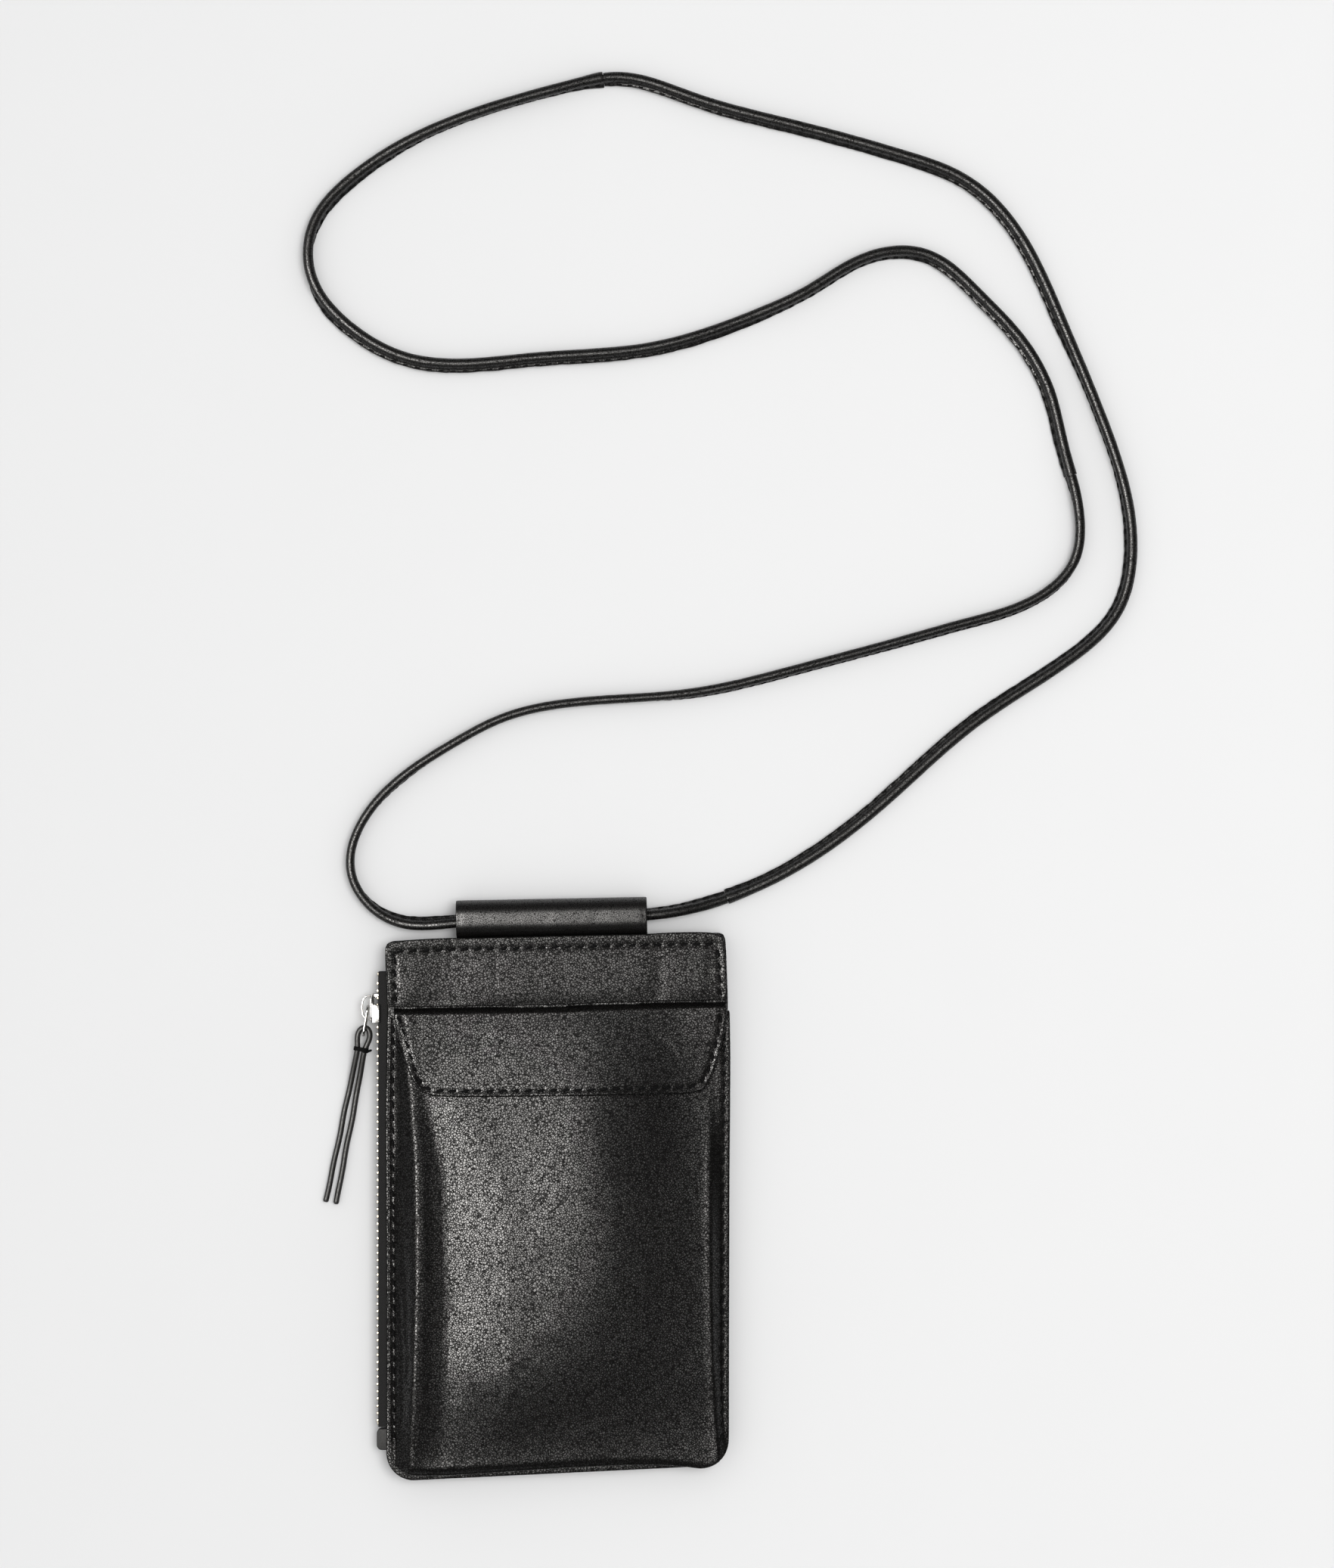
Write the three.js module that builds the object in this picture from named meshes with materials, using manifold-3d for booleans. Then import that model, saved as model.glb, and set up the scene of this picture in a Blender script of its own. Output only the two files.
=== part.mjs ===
// Neck pouch wallet: a flat leather pouch with a zipped main compartment, a front
// pocket under a flap, and a corded neck strap that runs through a leather tunnel.
//
// Frame, millimetres: the pouch lies on its back. Origin at the middle of the back
// face, +X to the right of the front, +Y up towards the strap tunnel, +Z out of the
// front. The neck strap is laid double on the same surface as the pouch.
import * as THREE from 'three';
import { mergeVertices } from 'three/addons/utils/BufferGeometryUtils.js';
import Module from 'manifold-3d';

const { clamp, degToRad, lerp, radToDeg, smoothstep } = THREE.MathUtils;
const wasm = await Module();
wasm.setup();

// ---------------------------------------------------------------- materials
const leather = { color: 0x1c1b1a, roughness: 0.5, metalness: 0 };
const lining = { color: 0x2a2826, roughness: 0.9, metalness: 0 };
const thread = { color: 0x0c0c0c, roughness: 0.7, metalness: 0 };
const steel = { color: 0xd0cfca, roughness: 0.25, metalness: 1 };
const toothMetal = { color: 0xa9a294, roughness: 0.35, metalness: 1 };
const webbing = { color: 0x151515, roughness: 0.85, metalness: 0 };

const group = new THREE.Group();
group.name = 'neck_pouch_wallet';

function add(name, geometry, material) {
  const mesh = new THREE.Mesh(geometry, new THREE.MeshStandardMaterial({ ...material, name }));
  mesh.name = name;
  group.add(mesh);
}

// ---------------------------------------------------------------- layers
const LEATHER = 1.2;            // leather thickness
const GAP = 0.1;                // air left between stacked sheets
const leatherFrom = z => [z, z + LEATHER];

// [low, high] in Z of the flat sheets
const BACK_Z = leatherFrom(0);
const BACK_LINING_Z = [1.25, 1.45];
const FRONT_LINING_Z = [5.55, 5.75];
const FRONT_Z = leatherFrom(5.8);
const EDGE_STRIP_Z = [BACK_Z[1] + GAP, FRONT_Z[0] - GAP];
const FLANGE_Z = leatherFrom(FRONT_Z[1] + GAP);   // sewn flange of the front pocket
const FLAP_ROOT_Z = [FRONT_Z[1] + GAP, 7.6];
const YOKE_Z = leatherFrom(7.8);

// [low, high] of the curved sheets, measured from the pocket's outer face
const FLAP_LINING_LIFT = [1.0, 1.45];
const LIFT = {
  pocket: [-LEATHER, 0],
  pocketLining: [-2.65, -2.35],
  pocketMagnet: [-2.05, -1.5],
  flapMagnet: [0.85, 1.35],
  flapLining: FLAP_LINING_LIFT,
  flap: leatherFrom(FLAP_LINING_LIFT[1] + GAP),
};

// ---------------------------------------------------------------- numbers and lines
// Piecewise linear lookup in rows of [at, value]; the end values hold outside.
function lookup(rows, at) {
  const next = rows.findIndex(row => at <= row[0]);
  if (next === 0) return rows[0][1];
  if (next < 0) return rows.at(-1)[1];
  const [[at0, value0], [at1, value1]] = rows.slice(next - 1, next + 1);
  return lerp(value0, value1, (at - at0) / (at1 - at0));
}

// A point on a circle; angles in degrees.
function polar([x, y], radius, degrees) {
  const angle = degToRad(degrees);
  return [x + radius * Math.cos(angle), y + radius * Math.sin(angle)];
}

const arc = (centre, radius, from, to, steps) => Array.from({ length: steps + 1 },
  (_, i) => polar(centre, radius, from + (to - from) * i / steps));

// The [left, right] edge points of a band along an open polyline.
function bandEdges(line, width) {
  return line.map(([x, y], i) => {
    const before = line[Math.max(0, i - 1)];
    const after = line[Math.min(line.length - 1, i + 1)];
    const dx = after[0] - before[0];
    const dy = after[1] - before[1];
    const scale = width / 2 / Math.hypot(dx, dy);
    return [[x - dy * scale, y + dx * scale], [x + dy * scale, y - dx * scale]];
  });
}

function ribbon(line, width) {
  const edges = bandEdges(line, width);
  return [...edges.map(([left]) => left), ...edges.map(([, right]) => right).reverse()];
}

// ---------------------------------------------------------------- solids
// An indexed closed mesh with its faces turned outwards.
function solid(points, faces) {
  let volume = 0;
  for (const [a, b, c] of faces) {
    const [p, q, r] = [points[a], points[b], points[c]];
    volume += p[0] * (q[1] * r[2] - q[2] * r[1])
      - p[1] * (q[0] * r[2] - q[2] * r[0])
      + p[2] * (q[0] * r[1] - q[1] * r[0]);
  }
  const geometry = new THREE.BufferGeometry();
  geometry.setAttribute('position', new THREE.Float32BufferAttribute(points.flat(), 3));
  geometry.setIndex((volume > 0 ? faces : flipped(faces)).flat());
  return geometry;
}

const flipped = faces => faces.map(([a, b, c]) => [a, c, b]);

const vectors = points => points.map(([x, y]) => new THREE.Vector2(x, y));

// A flat sheet in X and Y, with optional holes.
function sheet(outline, [z0, z1], holes = []) {
  const shape = new THREE.Shape(vectors(outline));
  for (const hole of holes) shape.holes.push(new THREE.Path(vectors(hole)));
  const settings = { depth: z1 - z0, bevelEnabled: false, curveSegments: 1 };
  const geometry = new THREE.ExtrudeGeometry(shape, settings);
  geometry.translate(0, 0, z0);
  return geometry;
}

// A profile in Y and Z, run across X.
function runAcross(profile, spanX, holes) {
  const geometry = sheet(profile, spanX, holes);
  // profile (x, y, z) -> world (y, z, x)
  geometry.applyMatrix4(new THREE.Matrix4().set(0, 0, 1, 0, 1, 0, 0, 0, 0, 1, 0, 0, 0, 0, 0, 1));
  return geometry;
}

function box([x0, x1], [y0, y1], [z0, z1]) {
  const geometry = new THREE.BoxGeometry(x1 - x0, y1 - y0, z1 - z0);
  geometry.translate((x0 + x1) / 2, (y0 + y1) / 2, (z0 + z1) / 2);
  return geometry;
}

// Side faces that join equal rings of points, stored one after the other from `first`.
function ringWalls(rings, first = 0, closed = false) {
  const size = rings[0].length;
  const faces = [];
  for (let k = 0; k < (closed ? rings.length : rings.length - 1); k++) {
    const here = first + k * size;
    const next = first + ((k + 1) % rings.length) * size;
    for (let i = 0; i < size; i++) {
      const j = (i + 1) % size;
      faces.push([here + i, here + j, next + j], [here + i, next + j, next + i]);
    }
  }
  return faces;
}

const closedTube = rings => solid(rings.flat(), ringWalls(rings, 0, true));

function cappedTube(rings) {
  const size = rings[0].length;
  const last = (rings.length - 1) * size;
  const faces = ringWalls(rings);
  for (let i = 1; i < size - 1; i++) {
    faces.push([0, i + 1, i], [last, last + i, last + i + 1]);
  }
  return solid(rings.flat(), faces);
}

// A tube with a bore. The two flat sections only lay out the triangles of its ends.
function hollowTube(outer, inner, outerSection, innerSection) {
  const size = outerSection.length;
  const boreFirst = outer.length * size;
  const faces = [...ringWalls(outer), ...flipped(ringWalls(inner, boreFirst))];
  const ends = THREE.ShapeUtils.triangulateShape(vectors(outerSection), [vectors(innerSection)]);
  const onRing = (i, k) => (i < size
    ? k * size + i
    : boreFirst + k * innerSection.length + i - size);
  for (const [a, b, c] of ends) {
    faces.push([a, c, b].map(i => onRing(i, 0)));
    faces.push([a, b, c].map(i => onRing(i, outer.length - 1)));
  }
  return solid([...outer.flat(), ...inner.flat()], faces);
}

// A sheet over rows of [x, y, low z, high z].
function gridSheet(grid) {
  const rows = grid.length;
  const columns = grid[0].length;
  const points = [2, 3].flatMap(z => grid.flat().map(point => [point[0], point[1], point[z]]));
  const at = ([j, i], level) => (level * rows + j) * columns + i;
  const faces = [];
  const quad = (a, b, c, d) => faces.push([a, b, c], [a, c, d]);
  for (let j = 0; j < rows - 1; j++) {
    for (let i = 0; i < columns - 1; i++) {
      const corners = [[j, i], [j, i + 1], [j + 1, i + 1], [j + 1, i]];
      const [a, b, c, d] = corners.map(corner => at(corner, 0));
      faces.push([a, c, b], [a, d, c]);
      quad(...corners.map(corner => at(corner, 1)));
    }
  }
  const wall = (from, to) => quad(at(from, 0), at(to, 0), at(to, 1), at(from, 1));
  for (let i = 0; i < columns - 1; i++) {
    wall([0, i], [0, i + 1]);
    wall([rows - 1, i + 1], [rows - 1, i]);
  }
  for (let j = 0; j < rows - 1; j++) {
    wall([j, columns - 1], [j + 1, columns - 1]);
    wall([j + 1, 0], [j, 0]);
  }
  return solid(points, faces);
}

// ---------------------------------------------------------------- booleans
function toManifold(geometry) {
  const bare = geometry.clone();
  bare.deleteAttribute('normal');
  bare.deleteAttribute('uv');
  const merged = mergeVertices(bare, 1e-4);
  return new wasm.Manifold(new wasm.Mesh({
    numProp: 3,
    vertProperties: new Float32Array(merged.attributes.position.array),
    triVerts: new Uint32Array(merged.index.array),
  }));
}

function fromManifold(manifold) {
  const mesh = manifold.getMesh();
  const geometry = new THREE.BufferGeometry();
  const positions = new Float32Array(mesh.vertProperties);
  geometry.setAttribute('position', new THREE.BufferAttribute(positions, 3));
  geometry.setIndex(new THREE.BufferAttribute(new Uint32Array(mesh.triVerts), 1));
  return geometry;
}

const union = geometries => fromManifold(geometries.map(toManifold).reduce((a, b) => a.add(b)));
const cut = (body, tool) => fromManifold(toManifold(body).subtract(toManifold(tool)));

// ---------------------------------------------------------------- panels
// Height of the line where yoke and flap meet.
const crease = x => 66.75 + 0.0216 * x;

// Centres of the rounded lower corners
const LOWER_LEFT = [-47.4, -80.3];
const LOWER_RIGHT = [46.6, -75.4];

// Outlines, [x, y]
const TOP_EDGE = [
  [54.9, 88.5], [54.3, 90.1], [53.0, 90.75], [30, 90.1], [-5, 89.3],
  [-37, 88.75], [-45, 88.5], [-54.4, 87.8], [-56.2, 87.1], [-57.0, 85.5],
];
const PANEL = [
  [-56.9, 82], [-56.2, 66], [-56.8, 30], [-56.4, -40],
  ...arc(LOWER_LEFT, 9.1, 180, 267, 6),
  ...arc(LOWER_RIGHT, 9.4, 273, 360, 6),
  [55.9, -40], [56.0, 30], [55.9, 70], [55.4, 84],
  ...TOP_EDGE,
];
const YOKE_RISE = 1.3;          // lower edge of the yoke above the crease
const YOKE = [
  [-56.3, crease(-56.3) + YOKE_RISE], [55.9, crease(55.9) + YOKE_RISE],
  [55.9, 70], [55.4, 84], ...TOP_EDGE, [-56.9, 82],
];
const LINING = [
  [-48.4, -80.2], [46.5, -80.2], [51.0, -74], [51.4, 60], [50.9, 79.4], [-48.4, 79.4],
];
const CLOSED_SIDES_STRIP = [
  [31.0, 90.0], [31.0, 86.2], [51.4, 86.6], [51.5, 60], [51.9, -40], [51.8, -75.4],
  ...arc(LOWER_RIGHT, 5.3, 0, -87, 4),
  ...arc(LOWER_LEFT, 5.1, 267, 182, 4),
  [-56.4, -80.6],
  ...arc(LOWER_LEFT, 9.0, 184, 267, 5),
  ...arc(LOWER_RIGHT, 9.3, 273, 360, 5),
  [55.8, -40], [55.9, 30], [55.8, 70], [55.3, 84], [54.8, 88.4], [54.2, 90.0], [52.9, 90.6],
];
const TOP_LEFT_STRIP = [
  [-34.6, 88.75], [-34.6, 84.8], [-56.8, 83.6], [-56.9, 85.5],
  [-56.1, 87.0], [-54.4, 87.7], [-45, 88.4],
];

add('back_panel', sheet(PANEL, BACK_Z), leather);
add('front_panel', sheet(PANEL, FRONT_Z), leather);
add('yoke_panel', sheet(YOKE, YOKE_Z), leather);
add('back_lining', sheet(LINING, BACK_LINING_Z), lining);
add('front_lining', sheet(LINING, FRONT_LINING_Z), lining);
// Leather strips between the two panels, along their edges
add('edge_strip_closed_sides', sheet(CLOSED_SIDES_STRIP, EDGE_STRIP_Z), leather);
add('edge_strip_top_left', sheet(TOP_LEFT_STRIP, EDGE_STRIP_Z), leather);

// ---------------------------------------------------------------- strap tunnel
const TUNNEL = {
  x: [-33.4, 29.4],
  z: 4.9,                       // height of the axis
  lowerY: 94.55, upperY: 97.2,  // arc centres of the oblong section
  outerRadius: 4.8, innerRadius: 3.55,
  tongueY: 80, tongueZ: [1.9, 5.1],   // solid tongue that reaches between the panels
  tilt: 1.13, pivotY: 90,       // degrees, about the middle of its length
};

function strapTunnel() {
  const { z, outerRadius, innerRadius, tongueY, tongueZ } = TUNNEL;
  const lower = [TUNNEL.lowerY, z];
  const upper = [TUNNEL.upperY, z];
  const backAngle = radToDeg(Math.asin((z - tongueZ[0]) / outerRadius));
  const frontAngle = radToDeg(Math.asin((tongueZ[1] - z) / outerRadius));
  const outer = [
    [tongueY, tongueZ[0]],
    ...arc(lower, outerRadius, 180 + backAngle, 270, 3),
    ...arc(upper, outerRadius, 270, 450, 10),
    ...arc(lower, outerRadius, 90, 180 - frontAngle, 5),
    [tongueY, tongueZ[1]],
  ];
  const bore = [...arc(lower, innerRadius, 90, 270, 9), ...arc(upper, innerRadius, -90, 90, 9)];
  const geometry = runAcross(outer, TUNNEL.x, [bore]);
  const middleX = (TUNNEL.x[0] + TUNNEL.x[1]) / 2;
  geometry.translate(-middleX, -TUNNEL.pivotY, 0);
  geometry.rotateZ(degToRad(TUNNEL.tilt));
  geometry.translate(middleX, TUNNEL.pivotY, 0);
  return geometry;
}
add('strap_tunnel', strapTunnel(), leather);

// ---------------------------------------------------------------- front pocket
const FLANGE_WIDTH = 4.6;
const SHOULDER_END = 10.5;      // distance from the edge where the full rise is reached
const POCKET_CORNER = 10;       // radius of the lower corners
const POCKET_RISE = 8.5;        // height of the pocket face over its flange
const POCKET_CROWN = 1.0;       // extra height at x = 0
const CROWN_HALF_WIDTH = 50;
const MOUTH_DEPTH = 9.0;        // pocket mouth below the crease, hidden by the flap
const MOUTH_END_DEPTH = 0.3;    // the same at the two ends of the mouth
const MOUTH_RAMP = 4.5;         // width over which the mouth drops
const LOWER_BAND = 20;          // height of the closely spaced lowest rows

// Side edges of the pocket, [y, x]
const POCKET_LEFT = [[-90, -55.6], [-40, -55.7], [30, -56.0], [67, -55.4]];
const POCKET_RIGHT = [[-90, 56.2], [-75, 56.3], [30, 56.6], [67, 56.8]];
// Rise of the pocket face, [distance below the crease, rise]
const FACE_RISE = [
  [0, 0.3], [3, 1.2], [7, 4.0], [9, 5.1], [12, 6.3], [17, 7.4],
  [27, 8.2], [60, 8.5], [130, 8.3], [143, 8.1],
];

const pocketLeft = y => lookup(POCKET_LEFT, y);
const pocketRight = y => lookup(POCKET_RIGHT, y);
const pocketBottom = x => lerp(-89.6, -84.7, (x + 47.8) / 94.3) + 0.35;
const sideDistance = (x, y) => Math.min(x - pocketLeft(y), pocketRight(y) - x);

function edgeDistance(x, y) {
  const side = sideDistance(x, y);
  const bottom = y - pocketBottom(x);
  if (side < POCKET_CORNER && bottom < POCKET_CORNER) {
    return POCKET_CORNER - Math.hypot(POCKET_CORNER - side, POCKET_CORNER - bottom);
  }
  return Math.min(side, bottom);
}

// Height of the pocket's outer face.
function pocketTop(x, y) {
  const inward = (edgeDistance(x, y) - FLANGE_WIDTH) / (SHOULDER_END - FLANGE_WIDTH);
  const shoulder = Math.sin(clamp(inward, 0, 1) * Math.PI / 2);
  const rise = lookup(FACE_RISE, crease(x) - y);
  const crown = clamp(1 - (x / CROWN_HALF_WIDTH) ** 2, 0, 1) * POCKET_CROWN;
  return FLANGE_Z[1] + rise * (1 + crown / POCKET_RISE) * shoulder;
}

// A grid point at two heights above the pocket face.
function liftedPoint(x, y, [low, high]) {
  const top = pocketTop(x, y);
  return [x, y, top + low, top + high];
}

// Pulls a point outside a rounded lower corner in onto the arc.
function roundCorner(x, y) {
  const dx = POCKET_CORNER - sideDistance(x, y);
  const dy = POCKET_CORNER - (y - pocketBottom(x));
  const reach = Math.hypot(dx, dy);
  if (dx <= 0 || dy <= 0 || reach <= POCKET_CORNER) return [x, y];
  const centreX = x + (x < 0 ? dx : -dx);
  const centreY = y + dy;
  const scale = POCKET_CORNER / reach;
  return [centreX + (x - centreX) * scale, centreY + (y - centreY) * scale];
}

// Columns at the same offsets from both side edges, with one in the middle.
const pocketColumns = offsets => [
  ...offsets.map(offset => left => left + offset),
  (left, right) => (left + right) / 2,
  ...offsets.map(offset => (left, right) => right - offset).reverse(),
];

// Rows at heights above the bottom edge, then at shares of the way from the top of
// the lower band to the mouth.
const pocketRows = (heights, shares) => [
  ...heights.map(height => bottom => bottom + height),
  ...shares.map(share => (bottom, mouth) => lerp(bottom + LOWER_BAND, mouth, share)),
];

function pocketGrid(columns, rows, lift, mouth) {
  return rows.map(row => columns.map(column => {
    let x = 0;
    let y = row(pocketBottom(0), mouth(0));
    // x follows the side edges at this y, y follows the rows at this x
    for (let k = 0; k < 4; k++) {
      x = column(pocketLeft(y), pocketRight(y));
      y = row(pocketBottom(x), mouth(x));
    }
    return liftedPoint(...roundCorner(x, y), lift);
  }));
}

function pocketFront() {
  const columns = pocketColumns([0, FLANGE_WIDTH, 6.0, 8.0, SHOULDER_END, 17, 29]);
  const rows = pocketRows(
    [0, FLANGE_WIDTH, 6, 8, SHOULDER_END, 15, LOWER_BAND],
    [0.25, 0.6, 0.77, 0.855, 0.936, 0.976, 1],
  );
  const mouth = x => {
    const ramp = smoothstep(sideDistance(x, 60), FLANGE_WIDTH, FLANGE_WIDTH + MOUTH_RAMP);
    return crease(x) - lerp(MOUTH_END_DEPTH, MOUTH_DEPTH, ramp);
  };
  return gridSheet(pocketGrid(columns, rows, LIFT.pocket, mouth));
}

function pocketLining() {
  const columns = pocketColumns([9.5, 12, 17, 29]);
  const rows = pocketRows([9.5, 12, LOWER_BAND], [0.25, 0.6, 0.77, 0.855, 0.936, 0.976]);
  return gridSheet(pocketGrid(columns, rows, LIFT.pocketLining, x => crease(x) - MOUTH_DEPTH));
}

// Magnets: round foil discs that follow the curve of the pocket face
const MAGNET = { x: 0, y: 44, radius: 6.0, rings: 2, segments: 16, holeClearance: 0.35 };

function magnetDisc(lift) {
  const { x, y, radius, rings, segments } = MAGNET;
  const flat = [[x, y]];
  for (let k = 1; k <= rings; k++) {
    for (let s = 0; s < segments; s++) {
      flat.push(polar([x, y], radius * k / rings, 360 * s / segments));
    }
  }
  const lifted = flat.map(point => liftedPoint(...point, lift));
  const points = [2, 3].flatMap(z => lifted.map(point => [point[0], point[1], point[z]]));
  const at = (level, k, s) => level * flat.length + 1 + (k - 1) * segments + (s % segments);
  const faces = [];
  for (let s = 0; s < segments; s++) {
    for (const level of [0, 1]) {
      const sector = [[level * flat.length, at(level, 1, s), at(level, 1, s + 1)]];
      for (let k = 1; k < rings; k++) {
        sector.push([at(level, k, s), at(level, k + 1, s), at(level, k + 1, s + 1)]);
        sector.push([at(level, k, s), at(level, k + 1, s + 1), at(level, k, s + 1)]);
      }
      faces.push(...(level ? sector : flipped(sector)));
    }
    faces.push([at(0, rings, s), at(0, rings, s + 1), at(1, rings, s + 1)]);
    faces.push([at(0, rings, s), at(1, rings, s + 1), at(1, rings, s)]);
  }
  return solid(points, faces);
}

add('pocket_front', pocketFront(), leather);
add('pocket_lining', pocketLining(), lining);
add('pocket_magnet', magnetDisc(LIFT.pocketMagnet), steel);

// ---------------------------------------------------------------- flap
// Side edges of the flap, [y, x]
const FLAP_LEFT = [
  [36.3, -43.0], [37.2, -44.5], [38.8, -46.2], [41, -47.7], [44.4, -49.4],
  [51.5, -51.8], [58.3, -53.6], [64.7, -54.6], [68, -54.8],
];
const FLAP_RIGHT = [
  [37.2, 44.0], [38, 47.0], [40.8, 49.4], [46.4, 51.8],
  [53.1, 53.8], [57, 54.6], [63.5, 55.4], [68, 55.8],
];
// Grid lines, as shares from left to right and from top to bottom
const FLAP_COLUMNS = [
  0, 0.03, 0.06, 0.09, 0.13, 0.2, 0.34, 0.5, 0.66, 0.8, 0.87, 0.91, 0.94, 0.97, 1,
];
const FLAP_ROWS = [0, 0.06, 0.13, 0.22, 0.32, 0.45, 0.6, 0.78, 0.9, 0.96, 1];

const flapLeft = y => lookup(FLAP_LEFT, y);
const flapRight = y => lookup(FLAP_RIGHT, y);
const flapTop = x => crease(x) - 0.35;
const flapBottom = x => 36.45 + 0.009 * x;

function flapSheet(lift) {
  return gridSheet(FLAP_ROWS.map(down => {
    const middleY = lerp(flapTop(0), flapBottom(0), down);
    return FLAP_COLUMNS.map(across => {
      const x = lerp(flapLeft(middleY), flapRight(middleY), across);
      return liftedPoint(x, lerp(flapTop(x), flapBottom(x), down), lift);
    });
  }));
}

// The lining has a round hole for the magnet.
function flapLining() {
  const radius = MAGNET.radius + MAGNET.holeClearance;
  const hole = new THREE.CylinderGeometry(radius, radius, 20, 24);
  hole.rotateX(Math.PI / 2);
  hole.translate(MAGNET.x, MAGNET.y, 18);
  return cut(flapSheet(LIFT.flapLining), hole);
}

// A flat strip above the crease, under the yoke.
function flapRoot() {
  const [left, right] = [-54, 55];
  const [lower, upper] = [0.6, 9];    // above the crease
  return sheet([
    [left, crease(left) + lower], [right, crease(right) + lower],
    [right, crease(right) + upper], [left, crease(left) + upper],
  ], FLAP_ROOT_Z);
}

add('flap_leather', flapSheet(LIFT.flap), leather);
add('flap_lining', flapLining(), lining);
add('flap_magnet', magnetDisc(LIFT.flapMagnet), steel);
add('flap_root', flapRoot(), leather);

// ---------------------------------------------------------------- sewing threads
const THREAD_WIDTH = 0.7;
const THREAD_HEIGHT = 0.4;
const FLAP_THREAD = { inset: 3.6, lift: 0.45, height: 0.35 };   // lift above the flap

function flatThread(line, below) {
  const z = below + GAP;
  return sheet(ribbon(line, THREAD_WIDTH), [z, z + THREAD_HEIGHT]);
}

function yokeThread() {
  return flatThread([
    [-53.4, crease(-53) + 2.2], [-53.5, 76], [-53.9, 82.5], [-53.4, 84.7],
    [-44, 85.0], [-5, 85.9], [30, 86.8], [51.6, 87.3],
    [52.3, 84], [52.8, 76], [52.9, crease(53) + 2.2],
  ], YOKE_Z[1]);
}

function pocketThread() {
  return flatThread([
    ...[63, 30, -20, -60, -79].map(y => [pocketLeft(y) + 2.1, y]),
    ...arc([-47.2, -79.4], 6.5, 200, 265, 4),
    ...arc([46.4, -75.2], 7.1, 275, 340, 4),
    ...[-74, -60, -20, 30, 63].map(y => [pocketRight(y) - 2.5, y]),
  ], FLANGE_Z[1]);
}

function flapThread() {
  const { inset, lift, height } = FLAP_THREAD;
  const line = [
    ...[64.5, 60, 56, 51.5, 47.5, 44.4, 42].map(y => [flapLeft(y) + inset, y]),
    [-42.6, 40.4],
    ...[-39, -33, -24, -12, 0, 12, 24, 33, 39].map(x => [x, flapBottom(x) + 3.4]),
    [44.2, 41.3],
    ...[43.5, 46.4, 50, 53.1, 57, 60, 64.5].map(y => [flapRight(y) - inset, y]),
  ];
  return cappedTube(bandEdges(line, THREAD_WIDTH).map(([left, right], i) => {
    const low = pocketTop(...line[i]) + LIFT.flap[1] + lift;
    const high = low + height;
    return [[...left, low], [...right, low], [...right, high], [...left, high]];
  }));
}

add('yoke_thread', yokeThread(), thread);
add('pocket_thread', pocketThread(), thread);
add('flap_thread', flapThread(), thread);

// ---------------------------------------------------------------- zip
const TAPE = [[-59.4, -72.0], [-49.0, -72.0], [-49.0, 78.0], [-59.4, 78.0]];
const TEETH = {
  x: [-59.7, -58.3], y: [-69.9, 76.2],
  pitch: 2.4, length: 1.1,      // both along Y
  tip: 0.65, root: 1.15, spine: 1.65,   // distances from the middle plane of the zip
};
const ZIP_Z = 3.6;
const STOP_X = [-59.6, -58.4];
const STOP_Z = [ZIP_Z - 0.9, ZIP_Z + 0.9];
const END_TAB = [
  [-58, -79.8], [-59.2, -79], [-59.8, -77.4], [-59.8, -74],
  [-59.4, -72.9], [-58.6, -72.4], [-50.6, -72.4], [-50.6, -79.8],
];

// One comb of teeth; side is 1 for the front comb and -1 for the back one.
function zipTeeth(side) {
  const { x, y: [start, end], pitch, length } = TEETH;
  const [tip, root, spine] = [TEETH.tip, TEETH.root, TEETH.spine].map(d => ZIP_Z + side * d);
  const count = Math.floor((end - start) / pitch);
  const profile = [[start, spine]];
  for (let i = 0; i < count; i++) {
    const y = start + i * pitch;
    profile.push([y, tip], [y + length, tip], [y + length, root], [y + pitch, root]);
  }
  profile.push([start + count * pitch, spine]);
  return runAcross(profile, x);
}

add('zip_tape_front', sheet(TAPE, [5.3, 5.7]), webbing);
add('zip_tape_back', sheet(TAPE, [1.5, 1.9]), webbing);
add('zip_teeth_front', zipTeeth(1), toothMetal);
add('zip_teeth_back', zipTeeth(-1), toothMetal);
add('zip_top_stop', box(STOP_X, [76.4, 77.8], STOP_Z), toothMetal);
add('zip_bottom_stop', box(STOP_X, [-71.7, -70.2], STOP_Z), toothMetal);
add('zip_end_tab', sheet(END_TAB, [2.1, 5.0]), leather);

// ---------------------------------------------------------------- slider
// Boxes of the slider body: spans in X, Y and Z
const SLIDER_BODY = [
  [[-61.5, -60.7], [61.0, 71.0], [0.4, 6.8]],     // outer plate
  [[-61.2, -58.7], [61.0, 67.2], [6.2, 6.85]],    // front lip
  [[-61.2, -58.7], [61.0, 67.2], [0.35, 1.0]],    // back lip
  [[-61.0, -57.3], [69.2, 70.7], [3.15, 4.05]],   // post
  [[-57.7, -57.1], [61.4, 70.9], [2.3, 4.9]],     // inner plate
];
const SLIDER_CROWN = [
  [-61.6, 61.8], [-61.6, 62.7], [-64.0, 62.7], [-64.0, 69.4], [-61.6, 69.4],
  [-61.6, 70.3], [-64.2, 70.3], [-65.0, 69.4], [-65.0, 62.9], [-64.1, 61.8],
];
add('slider_body', union(SLIDER_BODY.map(spans => box(...spans))), steel);
add('slider_crown', sheet(SLIDER_CROWN, [2.6, 4.6]), steel);
add('slider_lock_spring', box([-62.1, -61.75], [63.1, 69.1], [3.2, 4.0]), steel);

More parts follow.
